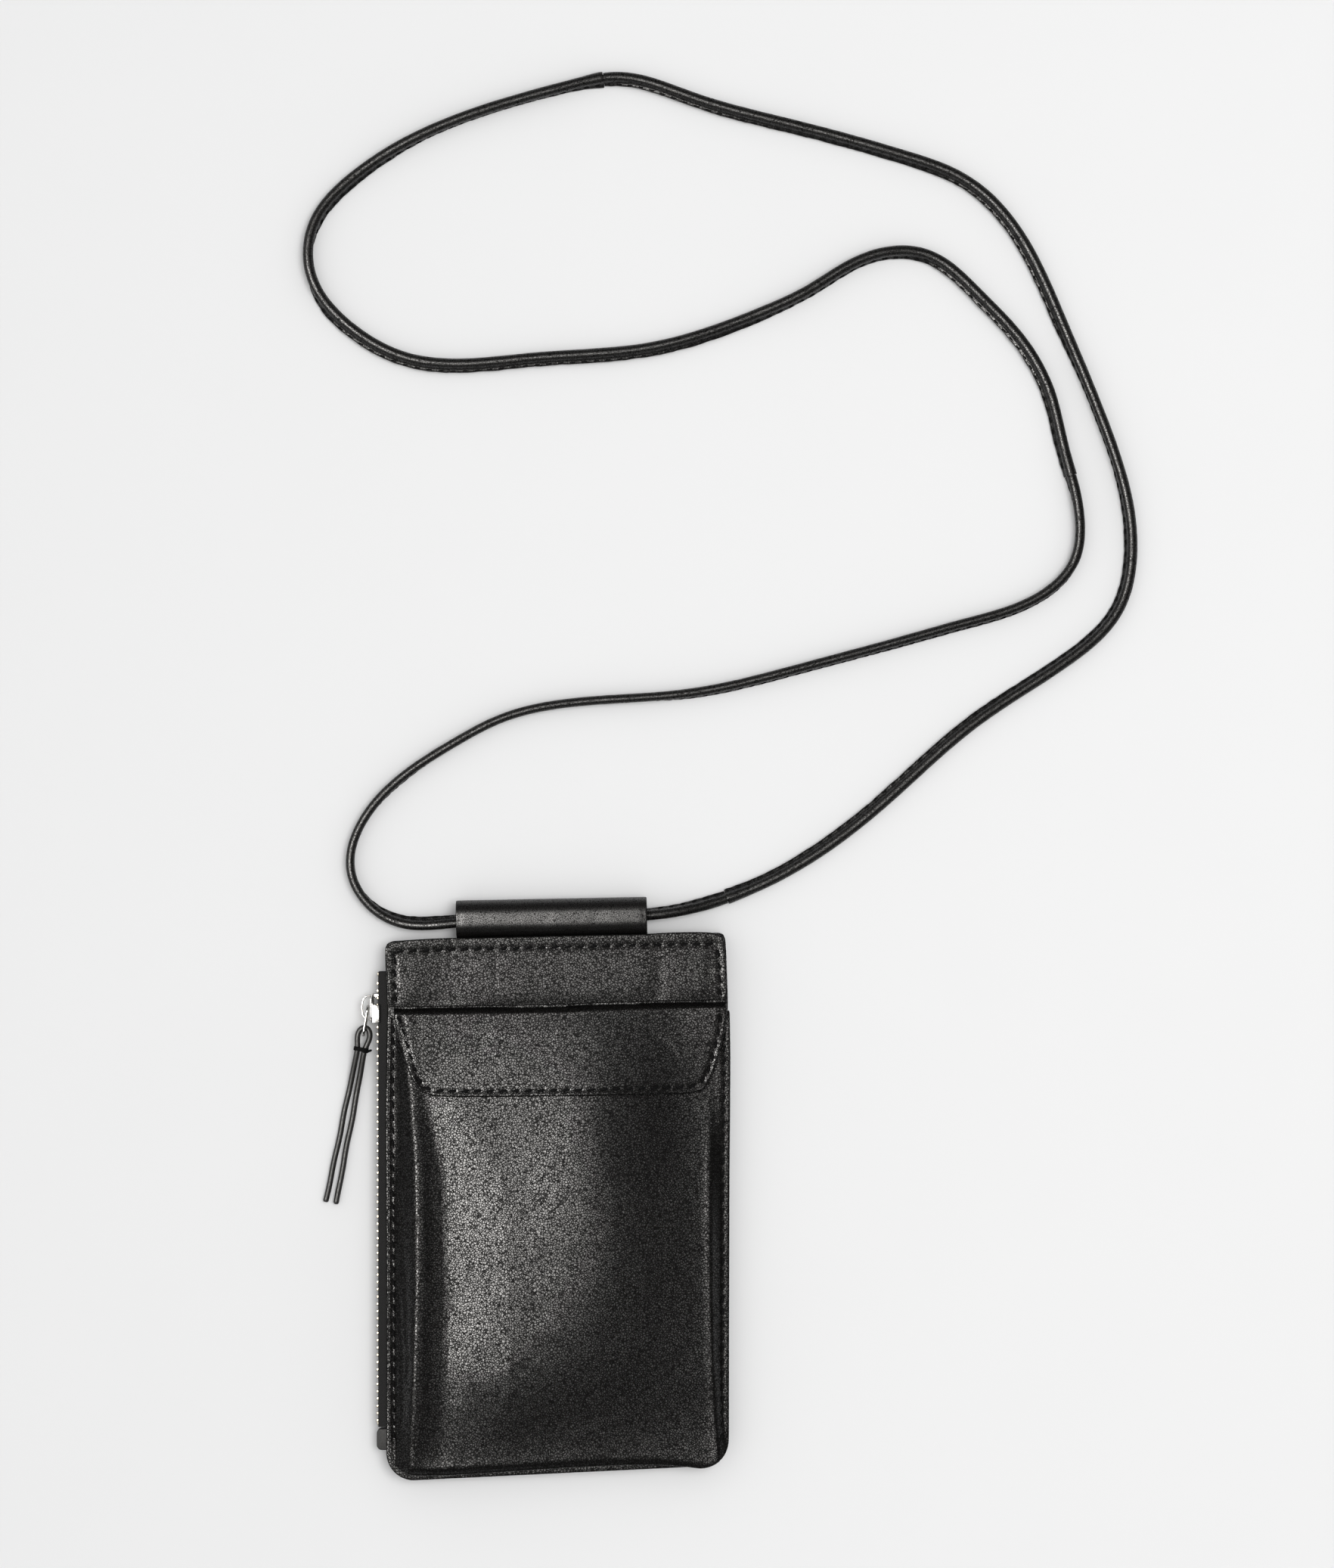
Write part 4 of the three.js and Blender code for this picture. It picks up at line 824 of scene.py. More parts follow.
FX = [X(v) for v in (540, 580, 620, 660, 700, 740, 780, 820, 860, 900, 945)]
FY = [Y(v) for v in (1330, 1450, 1550, 1650, 1750, 1820, 1870, 1910, 1955)]
FZ = [[15.0, 15.0, 15.5, 16.3, 17.2, 18.3, 18.8, 17.0, 13.8, 10.4, 8.5],
      [14.9, 14.9, 15.5, 16.3, 17.2, 18.2, 18.6, 16.9, 13.8, 10.4, 8.6],
      [14.8, 15.0, 15.4, 15.9, 16.7, 17.6, 17.9, 16.6, 14.3, 12.0, 10.2],
      [14.8, 15.0, 15.3, 15.8, 16.5, 17.2, 17.4, 16.5, 14.8, 13.0, 11.3],
      [14.8, 15.0, 15.3, 15.7, 16.2, 16.7, 16.7, 15.7, 14.3, 12.8, 11.4],
      [14.8, 15.0, 15.2, 15.4, 15.5, 15.3, 14.8, 14.0, 13.0, 11.9, 11.0],
      [14.0, 14.1, 13.9, 13.8, 13.6, 13.3, 12.8, 12.2, 11.5, 10.8, 10.2],
      [12.9, 12.7, 12.3, 12.0, 11.8, 11.6, 11.4, 11.0, 10.6, 10.2, 9.9],
      [12.2, 11.9, 11.5, 11.3, 11.1, 11.0, 10.8, 10.6, 10.3, 10.0, 9.8]]
RISE = [(-2, 1.3), (0, 1.4), (3, 1.75), (9, 2.5), (29, 4.6), (45, 6.0), (60, 7.1), (78, 8.2), (95, 8.5), (200, 8.5)]
WALL_T = np.linspace(0, 1, 101)
WALL_W = np.clip(spline(np.array([0, 0.06, 0.3, 0.6, 0.82, 0.92, 1.0]), np.array([0, 0.067, 0.337, 0.675, 0.92, 0.98, 1.0]), WALL_T), 0, 1)
POCKET_SEAM_L = px([(520.5, 1352), (519.5, 1420), (519.5, 1500), (519.5, 1600), (520.5, 1700), (520.5, 1800), (520.0, 1880), (521, 1905)])
POCKET_SEAM_R = px([(958.5, 1345), (958, 1380), (957.5, 1450), (956.5, 1560), (956, 1700), (956, 1820), (955.5, 1890), (953, 1908)])
WRINKLES = [  # plan polylines, depth, width
    ([(748, 1764), (716, 1787), (690, 1812), (662, 1838), (628, 1880)], 0.07, 2.0),
    ([(731, 1766), (700, 1789), (668, 1826), (640, 1852)], 0.02, 0.8),
    ([(744, 1779), (722, 1800), (694, 1832), (668, 1862)], 0.02, 0.9),
    ([(640, 1856), (620, 1880), (606, 1905)], 0.05, 1.3),
    ([(527, 1700), (533, 1800), (530, 1890)], 0.35, 0.70),
    ([(536, 1650), (538, 1760), (543, 1850)], 0.30, 0.65),
    ([(529, 1560), (534, 1650), (531, 1700)], 0.25, 0.60),
    ([(541, 1790), (536, 1850), (528, 1900)], 0.30, 0.60),
    ([(608, 1941), (614, 1934), (621, 1926)], 0.08, 0.40),
    ([(603, 1943), (609, 1936), (617, 1929)], 0.06, 0.36),
    ([(598, 1608), (640, 1640), (660, 1672)], 0.05, 0.8),
    ([(640, 1500), (700, 1530), (735, 1580)], 0.04, 0.8),
]


def line_dist(line, x, y):
    line = resample(px(line), 120, False)
    shape = np.shape(x)
    q = np.stack([np.ravel(x), np.ravel(y)], 1)
    best, frac = np.full(len(q), 1e9), np.zeros(len(q))
    near = np.where((q >= line.min(0) - 4).all(1) & (q <= line.max(0) + 4).all(1))[0]
    for s in range(0, len(near), 20000):
        ii = near[s:s + 20000]
        dd = ((q[ii, None] - line[None]) ** 2).sum(-1)
        k = dd.argmin(1)
        best[ii], frac[ii] = np.sqrt(dd[np.arange(len(ii)), k]), k / (len(line) - 1)
    return best.reshape(shape), frac.reshape(shape)


def pocket_base(x, y):
    """Pocket's top surface without seams: flange, wall, rolled rim and face."""
    x, y = np.asarray(x, float), np.asarray(y, float)
    dl, dr, db = x - XLp(y), XRp(y) - x, y - YBp(x)
    bl = table([(Y(v), w) for v, w in ((1330, 4.8), (1400, 6.6), (1450, 8.4), (1540, 9.8), (1620, 10.0), (1700, 9.9), (1825, 8.8), (1914, 7.9), (1960, 7.5))], y)
    br = table([(Y(v), w) for v, w in ((1330, 7.4), (1450, 7.0), (1700, 6.2), (1800, 5.6), (1870, 4.8), (1912, 4.0), (1960, 3.6))], y)
    bb = table([(X(v), w) for v, w in ((510, 3.4), (560, 3.4), (640, 3.4), (760, 3.2), (880, 3.0), (930, 2.8), (960, 2.8))], x)
    ar = table([(Y(v), w) for v, w in ((1330, 2.8), (1800, 2.8), (1880, 2.0), (1920, 0.8), (1960, 0.4))], y)
    al = table([(Y(v), w) for v, w in ((1330, 1.7), (1450, 1.9), (1520, 2.1), (1960, 2.1))], y)
    tl_, tr_, tb_ = np.clip((dl - al) / (bl - al), 0, 1), np.clip((dr - ar) / (br - ar), 0, 1), np.clip((db + 0.3) / bb, 0, 1)
    ease = lambda t: 0.5 * smooth(t) + 0.5 * np.sin(t * math.pi / 2)
    sharp = smooth((Y(1490) - y) / (Y(1490) - Y(1590)))
    W = lerp(smooth(tl_), np.interp(tl_, WALL_T, WALL_W), sharp) * ease(tr_) * np.sqrt(1 - (1 - tb_) ** 2)
    d = np.minimum(np.minimum(dl - bl, dr - br), db - bb)
    H = lattice(FX, FY, FZ, np.clip(x, FX[0], FX[-1]), np.clip(y, FY[-1], FY[0]))
    k = table(RISE, creaseP(x) - y) / 8.5
    soft = smooth(d / 6)
    H = H + (0.12 * noise2(x, y, 14, 5) + 0.06 * noise2(x, y, 5, 6, 2)) * soft
    z = 8.3 + (H - 8.3) * W * k + 0.30 * np.clip(1 - dl / 1.6, 0, 1) - 0.35 * np.clip(1 - dr / 3.0, 0, 1)
    dd = table([(Y(v), w) for v, w in ((1400, 0.0), (1450, 0.35), (1500, 0.8), (1560, 1.25), (1700, 1.35), (1850, 1.3), (1900, 0.7), (1960, 0.2))], y)
    dc = table([(Y(v), w) for v, w in ((1400, 3.5), (1450, 4.0), (1500, 5.5), (1560, 8.0), (1700, 8.5), (1850, 9.0), (1960, 7.0))], y) / 8.0
    dip = table([(-1, 0), (0, 0), (2, 0.22), (5, 0.85), (8, 1.35), (9.5, 1.42), (12, 1.25), (16, 0.8), (22, 0.3), (28, 0)], (dl - bl) / dc)
    rim_l = 0.15 * np.exp(-((dl - bl - 0.2) / 2.6) ** 2) * smooth((Y(1450) - y) / 25) - dd * dip
    rim_r = 0.30 * np.exp(-((dr - br - 0.1) / 1.6) ** 2)
    z += (rim_l + rim_r * smooth((creaseP(x) - y - 30) / 30)) * smooth(db / 5)
    return z


def pocket_z(x, y):
    z = pocket_base(x, y)
    for line, dep, wid in WRINKLES:
        dd, fr = line_dist(line, x, y)
        z = z - dep * np.exp(-(dd / wid) ** 2) * smooth(np.minimum(fr, 1 - fr) / 0.25)
    # small raised bump in the bottom left corner
    z = z + 0.15 * np.exp(-(((x - X(597)) / 3.5) ** 2 + ((y - Y(1934)) / 2.6) ** 2))
    for line in (POCKET_SEAM_L, POCKET_SEAM_R):
        z = z - seam_dent(line, x, y, 0.22, 0.8)
    return z


def pocket_mouth(x):
    e = np.minimum(x - XLp(60), XRp(60) - x)
    return creaseP(x) - lerp(3.3, 9.0, smooth((e - 4.6) / 4.5))


R1 = 0.45
n_u, n_v = 224, 276
ys = np.linspace(0, 1, 60)
bl_c = np.stack([XLp(Y(1951)) + 9.5 + 9.5 * np.cos(np.radians(np.linspace(225, 270, 12))), YBp(X(548)) + 9.5 + 9.5 * np.sin(np.radians(np.linspace(225, 270, 12)))], 1)
br_c = np.stack([XRp(Y(1943)) - 9.5 + 9.5 * np.cos(np.radians(np.linspace(270, 315, 12))), YBp(X(925)) + 9.5 + 9.5 * np.sin(np.radians(np.linspace(270, 315, 12)))], 1)
mx = np.linspace(bl_c[-1, 0] + 1.5, br_c[0, 0] - 1.5, 50)
pb = np.concatenate([bl_c, np.stack([mx, YBp(mx)], 1), br_c])
bl_s = np.stack([XLp(Y(1951)) + 9.5 + 9.5 * np.cos(np.radians(np.linspace(225, 180, 12))), YBp(X(548)) + 9.5 + 9.5 * np.sin(np.radians(np.linspace(225, 180, 12)))], 1)
br_s = np.stack([XRp(Y(1943)) - 9.5 + 9.5 * np.cos(np.radians(np.linspace(315, 360, 12))), YBp(X(925)) + 9.5 + 9.5 * np.sin(np.radians(np.linspace(315, 360, 12)))], 1)
top_y_l, top_y_r = float(pocket_mouth(-56.0)), float(pocket_mouth(56.5))
ly = np.linspace(bl_s[-1, 1] + 1.5, top_y_l, 50)
ry = np.linspace(br_s[-1, 1] + 1.5, top_y_r, 50)
pl = np.concatenate([bl_s, np.stack([XLp(ly), ly], 1)])
pr = np.concatenate([br_s, np.stack([XRp(ry), ry], 1)])
tx = np.linspace(float(XLp(top_y_l)), float(XRp(top_y_r)), 160)
pt = np.stack([tx, pocket_mouth(tx)], 1)
pb, pl, pr, pt = pb + [0, R1], pl + [R1, 0], pr + [-R1, 0], pt + [0, -R1]
pb[0] = pl[0] = bl_c[0] + [R1 * .7, R1 * .7]
pb[-1] = pr[0] = br_c[-1] + [-R1 * .7, R1 * .7]
pt[0] = pl[-1]
pt[-1] = pr[-1]
pp = coons(pb, pr, pt, pl, n_u, n_v)
pz = pocket_z(pp[..., 0], pp[..., 1])
pzb = np.maximum(pocket_base(pp[..., 0], pp[..., 1]) - 1.2, 7.1)
pzb = np.minimum(pzb, pz - 0.5)
V, F = slab(pp, pz, pzb, r=R1, k=4)
make("pocket_leather", V, F, M_POCKET, "pouch", ["pocket_front"])

parts = stitch_row(POCKET_SEAM_L, pocket_z, 4.2, 2.6, 0.35, 0.5, 0.22) + stitch_row(POCKET_SEAM_R, pocket_z, 4.2, 2.6, 0.35, -0.5, 0.22)
V, F = merge(parts + BACK_STITCHES)
make("pouch_stitches", V, F, M_THREAD, "pouch", ["pocket_thread"])

# lining under the pocket's face, and the thin magnet between them
lx = np.linspace(-46.5, 46.5, 70)
lg = np.stack(np.meshgrid(lx, np.linspace(-70, 1, 90)), -1)
lt = np.linspace(0, 1, 90)[:, None]
lg[..., 1] = lerp(-76.0, pocket_mouth(lx)[None] - 0.8, lt)
lz = pocket_base(lg[..., 0], lg[..., 1])
V, F = slab(lg, lz - 2.35, lz - 2.65, r=0.12, k=2)
make("pocket_lining_cloth", V, F, M_LINING, "pouch", ["pocket_lining"])


def draped_disc(name, cx, cy, low, lo, hi, r, body, rep):
    """A thin round plate lying in a curved layer; low(x, y) is the layer's height in plan."""
    V, F, n = [], [], 56
    prof = [(0.02, hi), (r * 0.4, hi), (r * 0.75, hi), (r - 0.25, hi), (r - 0.07, hi - 0.05), (r, hi - 0.16), (r, lo + 0.16), (r - 0.07, lo + 0.05), (r - 0.25, lo), (r * 0.75, lo), (r * 0.4, lo), (0.02, lo)]
    for rr, zz in prof:
        for i in range(n):
            a = 2 * math.pi * i / n
            x, y = cx + rr * math.cos(a), cy + rr * math.sin(a)
            V.append((x, y, float(low(x, y)) + zz))
    for k in range(len(prof) - 1):
        for i in range(n):
            F.append([k * n + i, (k + 1) * n + i, (k + 1) * n + (i + 1) % n, k * n + (i + 1) % n])
    F.append(list(range(n)))
    F.append([(len(prof) - 1) * n + i for i in range(n)][::-1])
    V = np.array(V)
    V = np.stack(plan(V[:, 0], V[:, 1], V[:, 2]), 1)
    if volume(V, F) < 0:
        F = [f[::-1] for f in F]
    return make(name, V, F, M_MAGNET, body, [rep], angle=40)


draped_disc("pocket_magnet_disc", -0.44, 42.8, lambda x, y: pocket_base(np.array([x]), np.array([y]))[0], -2.1, -1.55, 6.0, "pouch", "pocket_magnet")


# ------------------------------------------------------------------ flap
def blur(a, sigma):
    n = int(3 * sigma) + 1
    k = np.exp(-0.5 * (np.arange(-n, n + 1) / sigma) ** 2)
    k /= k.sum()
    p = np.pad(a, n, mode="edge")
    p = np.stack([np.convolve(r, k, "same") for r in p])
    p = np.stack([np.convolve(c, k, "same") for c in p.T]).T
    return p[n:-n, n:-n]


def widest(a, n):
    out = a.copy()
    for _ in range(n):
        p = np.pad(out, 1, mode="edge")
        out = np.max([p[1:-1, 1:-1], p[:-2, 1:-1], p[2:, 1:-1], p[1:-1, :-2], p[1:-1, 2:]], 0)
    return out


FS = 0.4
fx0, fy0 = -59.0, 30.0
FGX, FGY = np.meshgrid(np.arange(fx0, 60, FS), np.arange(fy0, 72, FS))
under = pocket_z(FGX, FGY)
drape = blur(under, 1.7 / FS)
drape = drape + blur(widest(np.maximum(under + 0.32 - drape, 0), 3), 0.8 / FS)
drape = np.maximum(drape, under + 0.26)


def sample(field, x, y):
    i, j = np.clip((np.asarray(x) - fx0) / FS, 0, field.shape[1] - 1.001), np.clip((np.asarray(y) - fy0) / FS, 0, field.shape[0] - 1.001)
    a, b = i.astype(int), j.astype(int)
    u, v = i - a, j - b
    return (field[b, a] * (1 - u) + field[b, a + 1] * u) * (1 - v) + (field[b + 1, a] * (1 - u) + field[b + 1, a + 1] * u) * v


FLAP_SEAM = px([(524.5, 1341), (529, 1352), (533, 1362), (538, 1381), (543, 1398), (547.5, 1412), (553, 1427), (561, 1438), (571, 1441.5), (600, 1442.6), (680, 1442.2), (740, 1441.3), (820, 1439.6), (880, 1438.4), (914, 1437.2), (926, 1432.5), (935, 1420), (941.7, 1399), (948, 1376), (952.5, 1354), (954.5, 1340)])
FLAP_L = px([(556.5, 1443.2), (550, 1434), (544.5, 1426), (541, 1418), (536.3, 1404), (531.5, 1389), (527.6, 1375), (524, 1362), (521.6, 1350), (520.2, 1338), (520.8, 1331), (523, 1326), (525, 1314), (525.5, 1300)])
FLAP_R = px([(930.5, 1440.6), (936, 1432.5), (941, 1422), (945.7, 1410), (950, 1397), (953.6, 1383), (956.8, 1370), (959.2, 1355), (960.8, 1341.6), (961.2, 1330), (960.2, 1322), (957.5, 1316), (956, 1306), (955.5, 1292)])
FLAP_B = px([(556.5, 1443.2), (560.5, 1446.8), (566.5, 1449), (580, 1450), (608, 1450.5), (670, 1450.2), (740, 1449.3), (830, 1447.8), (880, 1446.9), (915, 1446), (922, 1445.2), (926.5, 1443.7), (930.5, 1440.6)])
FLAP_T = np.stack([np.linspace(FLAP_L[-1, 0], FLAP_R[-1, 0], 30), np.linspace(FLAP_L[-1, 1], FLAP_R[-1, 1], 30)], 1)
FLAP_LINES = [  # soft folds on the flap
    ([(523, 1372), (532, 1402), (541, 1430)], 0.0, 0.8),
    ([(700, 1345), (702, 1372)], 0.05, 1.0),
    ([(600, 1360), (640, 1372), (690, 1376)], 0.05, 1.2),
    ([(842, 1356), (880, 1380), (905, 1412)], 0.10, 1.4),
]


def flap_t(x, y):
    return creaseP(x) - np.asarray(y, float)


def fold(u):
    """Quarter-round rise from the crease to the flap's face."""
    u = np.clip(u, 0, 1)
    return 0.75 * np.sqrt(1 - (1 - u) ** 2) + 0.25 * smooth(u)


def flap_under(x, y):
    t = flap_t(x, y)
    return lerp(7.06, sample(drape, x, y) + 0.18, fold((t - 0.85) / 1.5))


def flap_top(x, y):
    x, y = np.asarray(x, float), np.asarray(y, float)
    t = flap_t(x, y)
    z = sample(drape, x, y) + 0.18 + 1.60
    z = z + (0.10 * noise2(x, y, 15, 11) + 0.05 * noise2(x, y, 5, 12)) * smooth(t / 6)
    for line, dep, wid in FLAP_LINES:
        dd, fr = line_dist(line, x, y)
        z = z - dep * np.exp(-(dd / wid) ** 2) * smooth(np.minimum(fr, 1 - fr) / 0.25)
    z = z - seam_dent(FLAP_SEAM, x, y, 0.27, 0.9) * smooth(t / 1.5)
    return lerp(7.62, z, fold((t - 0.55) / 1.5))


fi = 0.55
fl, fr_, fb, ft = FLAP_L + [fi, 0], FLAP_R + [-fi, 0], FLAP_B + [0, fi], FLAP_T + np.linspace([fi, 0], [-fi, 0], 30)
fl[0] = fb[0] = FLAP_B[0] + [fi * 0.72, fi * 0.72]
fr_[0] = fb[-1] = FLAP_B[-1] + [-fi * 0.72, fi * 0.72]
ft[0], ft[-1] = fl[-1], fr_[-1]
fp = coons(fb, fr_, ft, fl, 232, 92)
ztop = flap_top(fp[..., 0], fp[..., 1])
zlow = flap_under(fp[..., 0], fp[..., 1])
on = smooth((flap_t(fp[..., 0], fp[..., 1]) - 1.4) / 1.6)
rm = np.hypot(fp[..., 0] + 0.44, fp[..., 1] - 42.8)
zleather = np.minimum(lerp(zlow, zlow + 0.50, on) + 0.75 * (1 - smooth((rm - 6.2) / 0.8)), ztop - 0.30)
V, F = slab(fp, ztop, zleather, r=fi, k=5, r_low=0.45)
flap = make("flap_leather_skin", V, F, M_FLAP, None, ["flap_leather", "flap_root"])
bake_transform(flap)

inn = 1.3
q = [c.copy() for c in (FLAP_L[:11], FLAP_R[:11], FLAP_B)]
q[0] += [inn, 0]
q[1] += [-inn, 0]
q[2] = q[2] + [0, inn]
q[0][0] = q[2][0] = FLAP_B[0] + [inn * 1.0, inn]
q[1][0] = q[2][-1] = FLAP_B[-1] + [-inn * 1.0, inn]
qt_x = np.linspace(q[0][-1, 0], q[1][-1, 0], 30)
qt = np.stack([qt_x, creaseP(qt_x) - 2.9], 1)
q[0][-1, 1], q[1][-1, 1] = qt[0, 1], qt[-1, 1]
q[0] = q[0][q[0][:, 1] <= qt[0, 1] + 1e-6]
q[1] = q[1][q[1][:, 1] <= qt[-1, 1] + 1e-6]
lgr = coons(q[2], q[1], qt, q[0], 150, 54)
lzb = flap_under(lgr[..., 0], lgr[..., 1])
V, F = slab(lgr, lzb + 0.40, lzb + 0.02, r=0.15, k=3)
flin = make("flap_lining_cloth", V, F, M_LINING, None, ["flap_lining"])
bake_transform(flin)

draped_disc("flap_magnet_disc", -0.44, 42.8, lambda x, y: flap_under(np.array([x]), np.array([y]))[0], 0.44, 0.74, 6.0, "flap", "flap_magnet")

parts = stitch_row(FLAP_SEAM, flap_top, 4.2, 2.7, 0.41, 0.5, 0.24)
V, F = merge(parts)
fst = make("flap_stitches", V, F, M_THREAD, None, ["flap_thread"])
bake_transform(fst)


# ------------------------------------------------------------------ strap tunnel
def tunnel():
    """A leather band folded round the strap: its section is a long loop with a tail that
    is sewn in under the yoke. Built along X, then tilted a little."""
    c0, c1, zc, ro, ri = 94.55, 97.2, 4.9, 4.8, 3.62
    zc_o = 4.9
    # outer outline, from the tail's top over the loop to the tail's underside
    up = [(80.3, 5.02), (84, 5.04), (87.5, 5.12), (89.2, 5.3)]
    outer = []
    # the loop leaves the tail tangentially: upper leaf rises from y 89.3 to the crest
    for a in np.linspace(172, 90, 12):
        outer.append((c0 + ro * math.cos(math.radians(a)), zc + ro * math.sin(math.radians(a))))
    for a in np.linspace(90, -90, 26):
        outer.append((c1 + ro * math.cos(math.radians(a)), zc + ro * math.sin(math.radians(a))))
    for a in np.linspace(-90, -172, 12):
        outer.append((c0 + ro * math.cos(math.radians(a)), zc + ro * math.sin(math.radians(a))))
    dn = [(89.2, 2.3), (87.5, 2.1), (84, 1.98), (80.3, 1.95)]
    o = np.array(up + outer + dn)
    o[:, 1] = np.maximum(o[:, 1], 0.12)
    inner = []
    for a in np.linspace(-180, -90, 10):
        inner.append((c0 + ri * math.cos(math.radians(a)), zc + ri * math.sin(math.radians(a))))
    for a in np.linspace(-90, 90, 20):
        inner.append((c1 + ri * math.cos(math.radians(a)), zc + ri * math.sin(math.radians(a))))
    for a in np.linspace(90, 180, 10)[:-1]:
        inner.append((c0 + ri * math.cos(math.radians(a)), zc + ri * math.sin(math.radians(a))))
    return resample(np.r_[o], 96, False), np.array(inner)


def tunnel_mesh():
    o, h = tunnel()
    x0, x1 = -33.4, 29.4
    xs = np.r_[x0, x0 + 0.12, x0 + 0.35, np.linspace(x0 + 0.8, x1 - 0.8, 70), x1 - 0.35, x1 - 0.12, x1]
    ins = np.r_[0.30, 0.12, 0.02, np.zeros(70), 0.02, 0.12, 0.30]
    V, F = [], []
    mo, mh = len(o), len(h)
    for k, x in enumerate(xs):
        ring = o + inward(o, ins[k])
        soft = 0.16 * noise2(np.full(mo, x), o[:, 0] + o[:, 1], 13, 21) + 0.05 * noise2(np.full(mo, x) * 1.0, o[:, 0] + 2 * o[:, 1], 3.5, 22)
        fold = 0.24 * np.exp(-((o[:, 0] - 91.1) / 0.5) ** 2) * (o[:, 1] > 4.9) * (0.6 + 0.4 * math.sin(x * 0.35))
        lift = np.where(o[:, 1] > 4.9, soft - fold, -np.abs(soft) * 0.0)
        lift = lift * smooth((o[:, 0] - 88.5) / 2.5)
        end = 0.14 * math.exp(-((x - x0 - 0.9) / 0.7) ** 2) + 0.14 * math.exp(-((x - x1 + 0.9) / 0.7) ** 2)
        ring = ring + np.c_[0 * lift, lift - end * (o[:, 1] > 5)]
        V.append(np.c_[np.full(mo, x), ring])
    for k, x in enumerate(xs):
        V.append(np.c_[np.full(mh, x), h])
    V = np.concatenate(V)
    n = len(xs)
    i = np.arange(mo)
    for k in range(n - 1):
        a, b = k * mo, (k + 1) * mo
        F += np.stack([a + i, b + i, b + (i + 1) % mo, a + (i + 1) % mo], 1).tolist()
    off = n * mo
    j = np.arange(mh)
    for k in range(n - 1):
        a, b = off + k * mh, off + (k + 1) * mh
        F += np.stack([a + j, b + j, b + (j + 1) % mh, a + (j + 1) % mh], 1).tolist()
    # end faces: bridge the outline to the hole
    for k, flip in ((0, False), (n - 1, True)):
        F += bridge(V, k * mo, mo, off + k * mh, mh, flip)
    # tilt about Z
    a = math.radians(1.13)
    p = V[:, :2] - [-2, 90]
    V[:, :2] = np.stack([p[:, 0] * math.cos(a) - p[:, 1] * math.sin(a), p[:, 0] * math.sin(a) + p[:, 1] * math.cos(a)], 1) + [-2, 90]
    return V, F


def inward(o, d):
    """Offsets of an outline's points towards its inside by d."""
    t = np.roll(o, -1, 0) - np.roll(o, 1, 0)
    n = np.stack([-t[:, 1], t[:, 0]], 1)
    n /= np.maximum(np.linalg.norm(n, axis=1), 1e-9)[:, None]
    area = 0.5 * np.sum(o[:, 0] * np.roll(o[:, 1], -1) - np.roll(o[:, 0], -1) * o[:, 1])
    return n * d * (1 if area > 0 else -1)


def bridge(V, a0, na, b0, nb, flip):
    """Triangles between an outline and a hole inside it, both closed rings."""
    A, B = V[a0:a0 + na, 1:], V[b0:b0 + nb, 1:]
    areaA = np.sum(A[:, 0] * np.roll(A[:, 1], -1) - np.roll(A[:, 0], -1) * A[:, 1])
    areaB = np.sum(B[:, 0] * np.roll(B[:, 1], -1) - np.roll(B[:, 0], -1) * B[:, 1])
    ib = list(range(nb)) if areaA * areaB > 0 else list(range(nb))[::-1]
    sa = int(np.argmin(((A[:, None] - B[ib[0]][None, None]) ** 2).sum(-1).min(1)))
    i, j, F = 0, 0, []
    while i < na or j < nb:
        pa, pa1 = A[(sa + i) % na], A[(sa + i + 1) % na]
        pb_, pb1 = B[ib[j % nb]], B[ib[(j + 1) % nb]]
        if j >= nb or (i < na and np.linalg.norm(pa1 - pb_) <= np.linalg.norm(pb1 - pa)):
            F.append([a0 + (sa + i) % na, a0 + (sa + i + 1) % na, b0 + ib[j % nb]])
            i += 1
        else:
            F.append([a0 + (sa + i) % na, b0 + ib[(j + 1) % nb], b0 + ib[j % nb]])
            j += 1
    return [f[::-1] for f in F] if flip else F


V, F = tunnel_mesh()
if volume(V, F) < 0:
    F = [f[::-1] for f in F]
tun = make("tunnel_leather", V, F, M_TUNNEL, "pouch", ["strap_tunnel"], angle=50)


# ------------------------------------------------------------------ zip
def tape(name, z0, z1, rep, seed):
    xs, ys = np.linspace(-59.1, -49.15, 26), np.linspace(-71.85, 77.85, 190)
    P = np.stack(np.meshgrid(xs, ys), -1)
    w = 0.03 * noise2(P[..., 0], P[..., 1], 8, seed)
    V, F = slab(P, np.full(w.shape, z1 - 0.02) + w * 0.4, np.full(w.shape, z0 + 0.02) + w * 0.4, r=0.14, k=3, plane=False)
    return make(name, V, F, M_TAPE, "pouch", [rep])


tape("zip_tape_front_weave", 5.3, 5.68, "zip_tape_front", 31)
tape("zip_tape_back_weave", 1.5, 1.9, "zip_tape_back", 32)


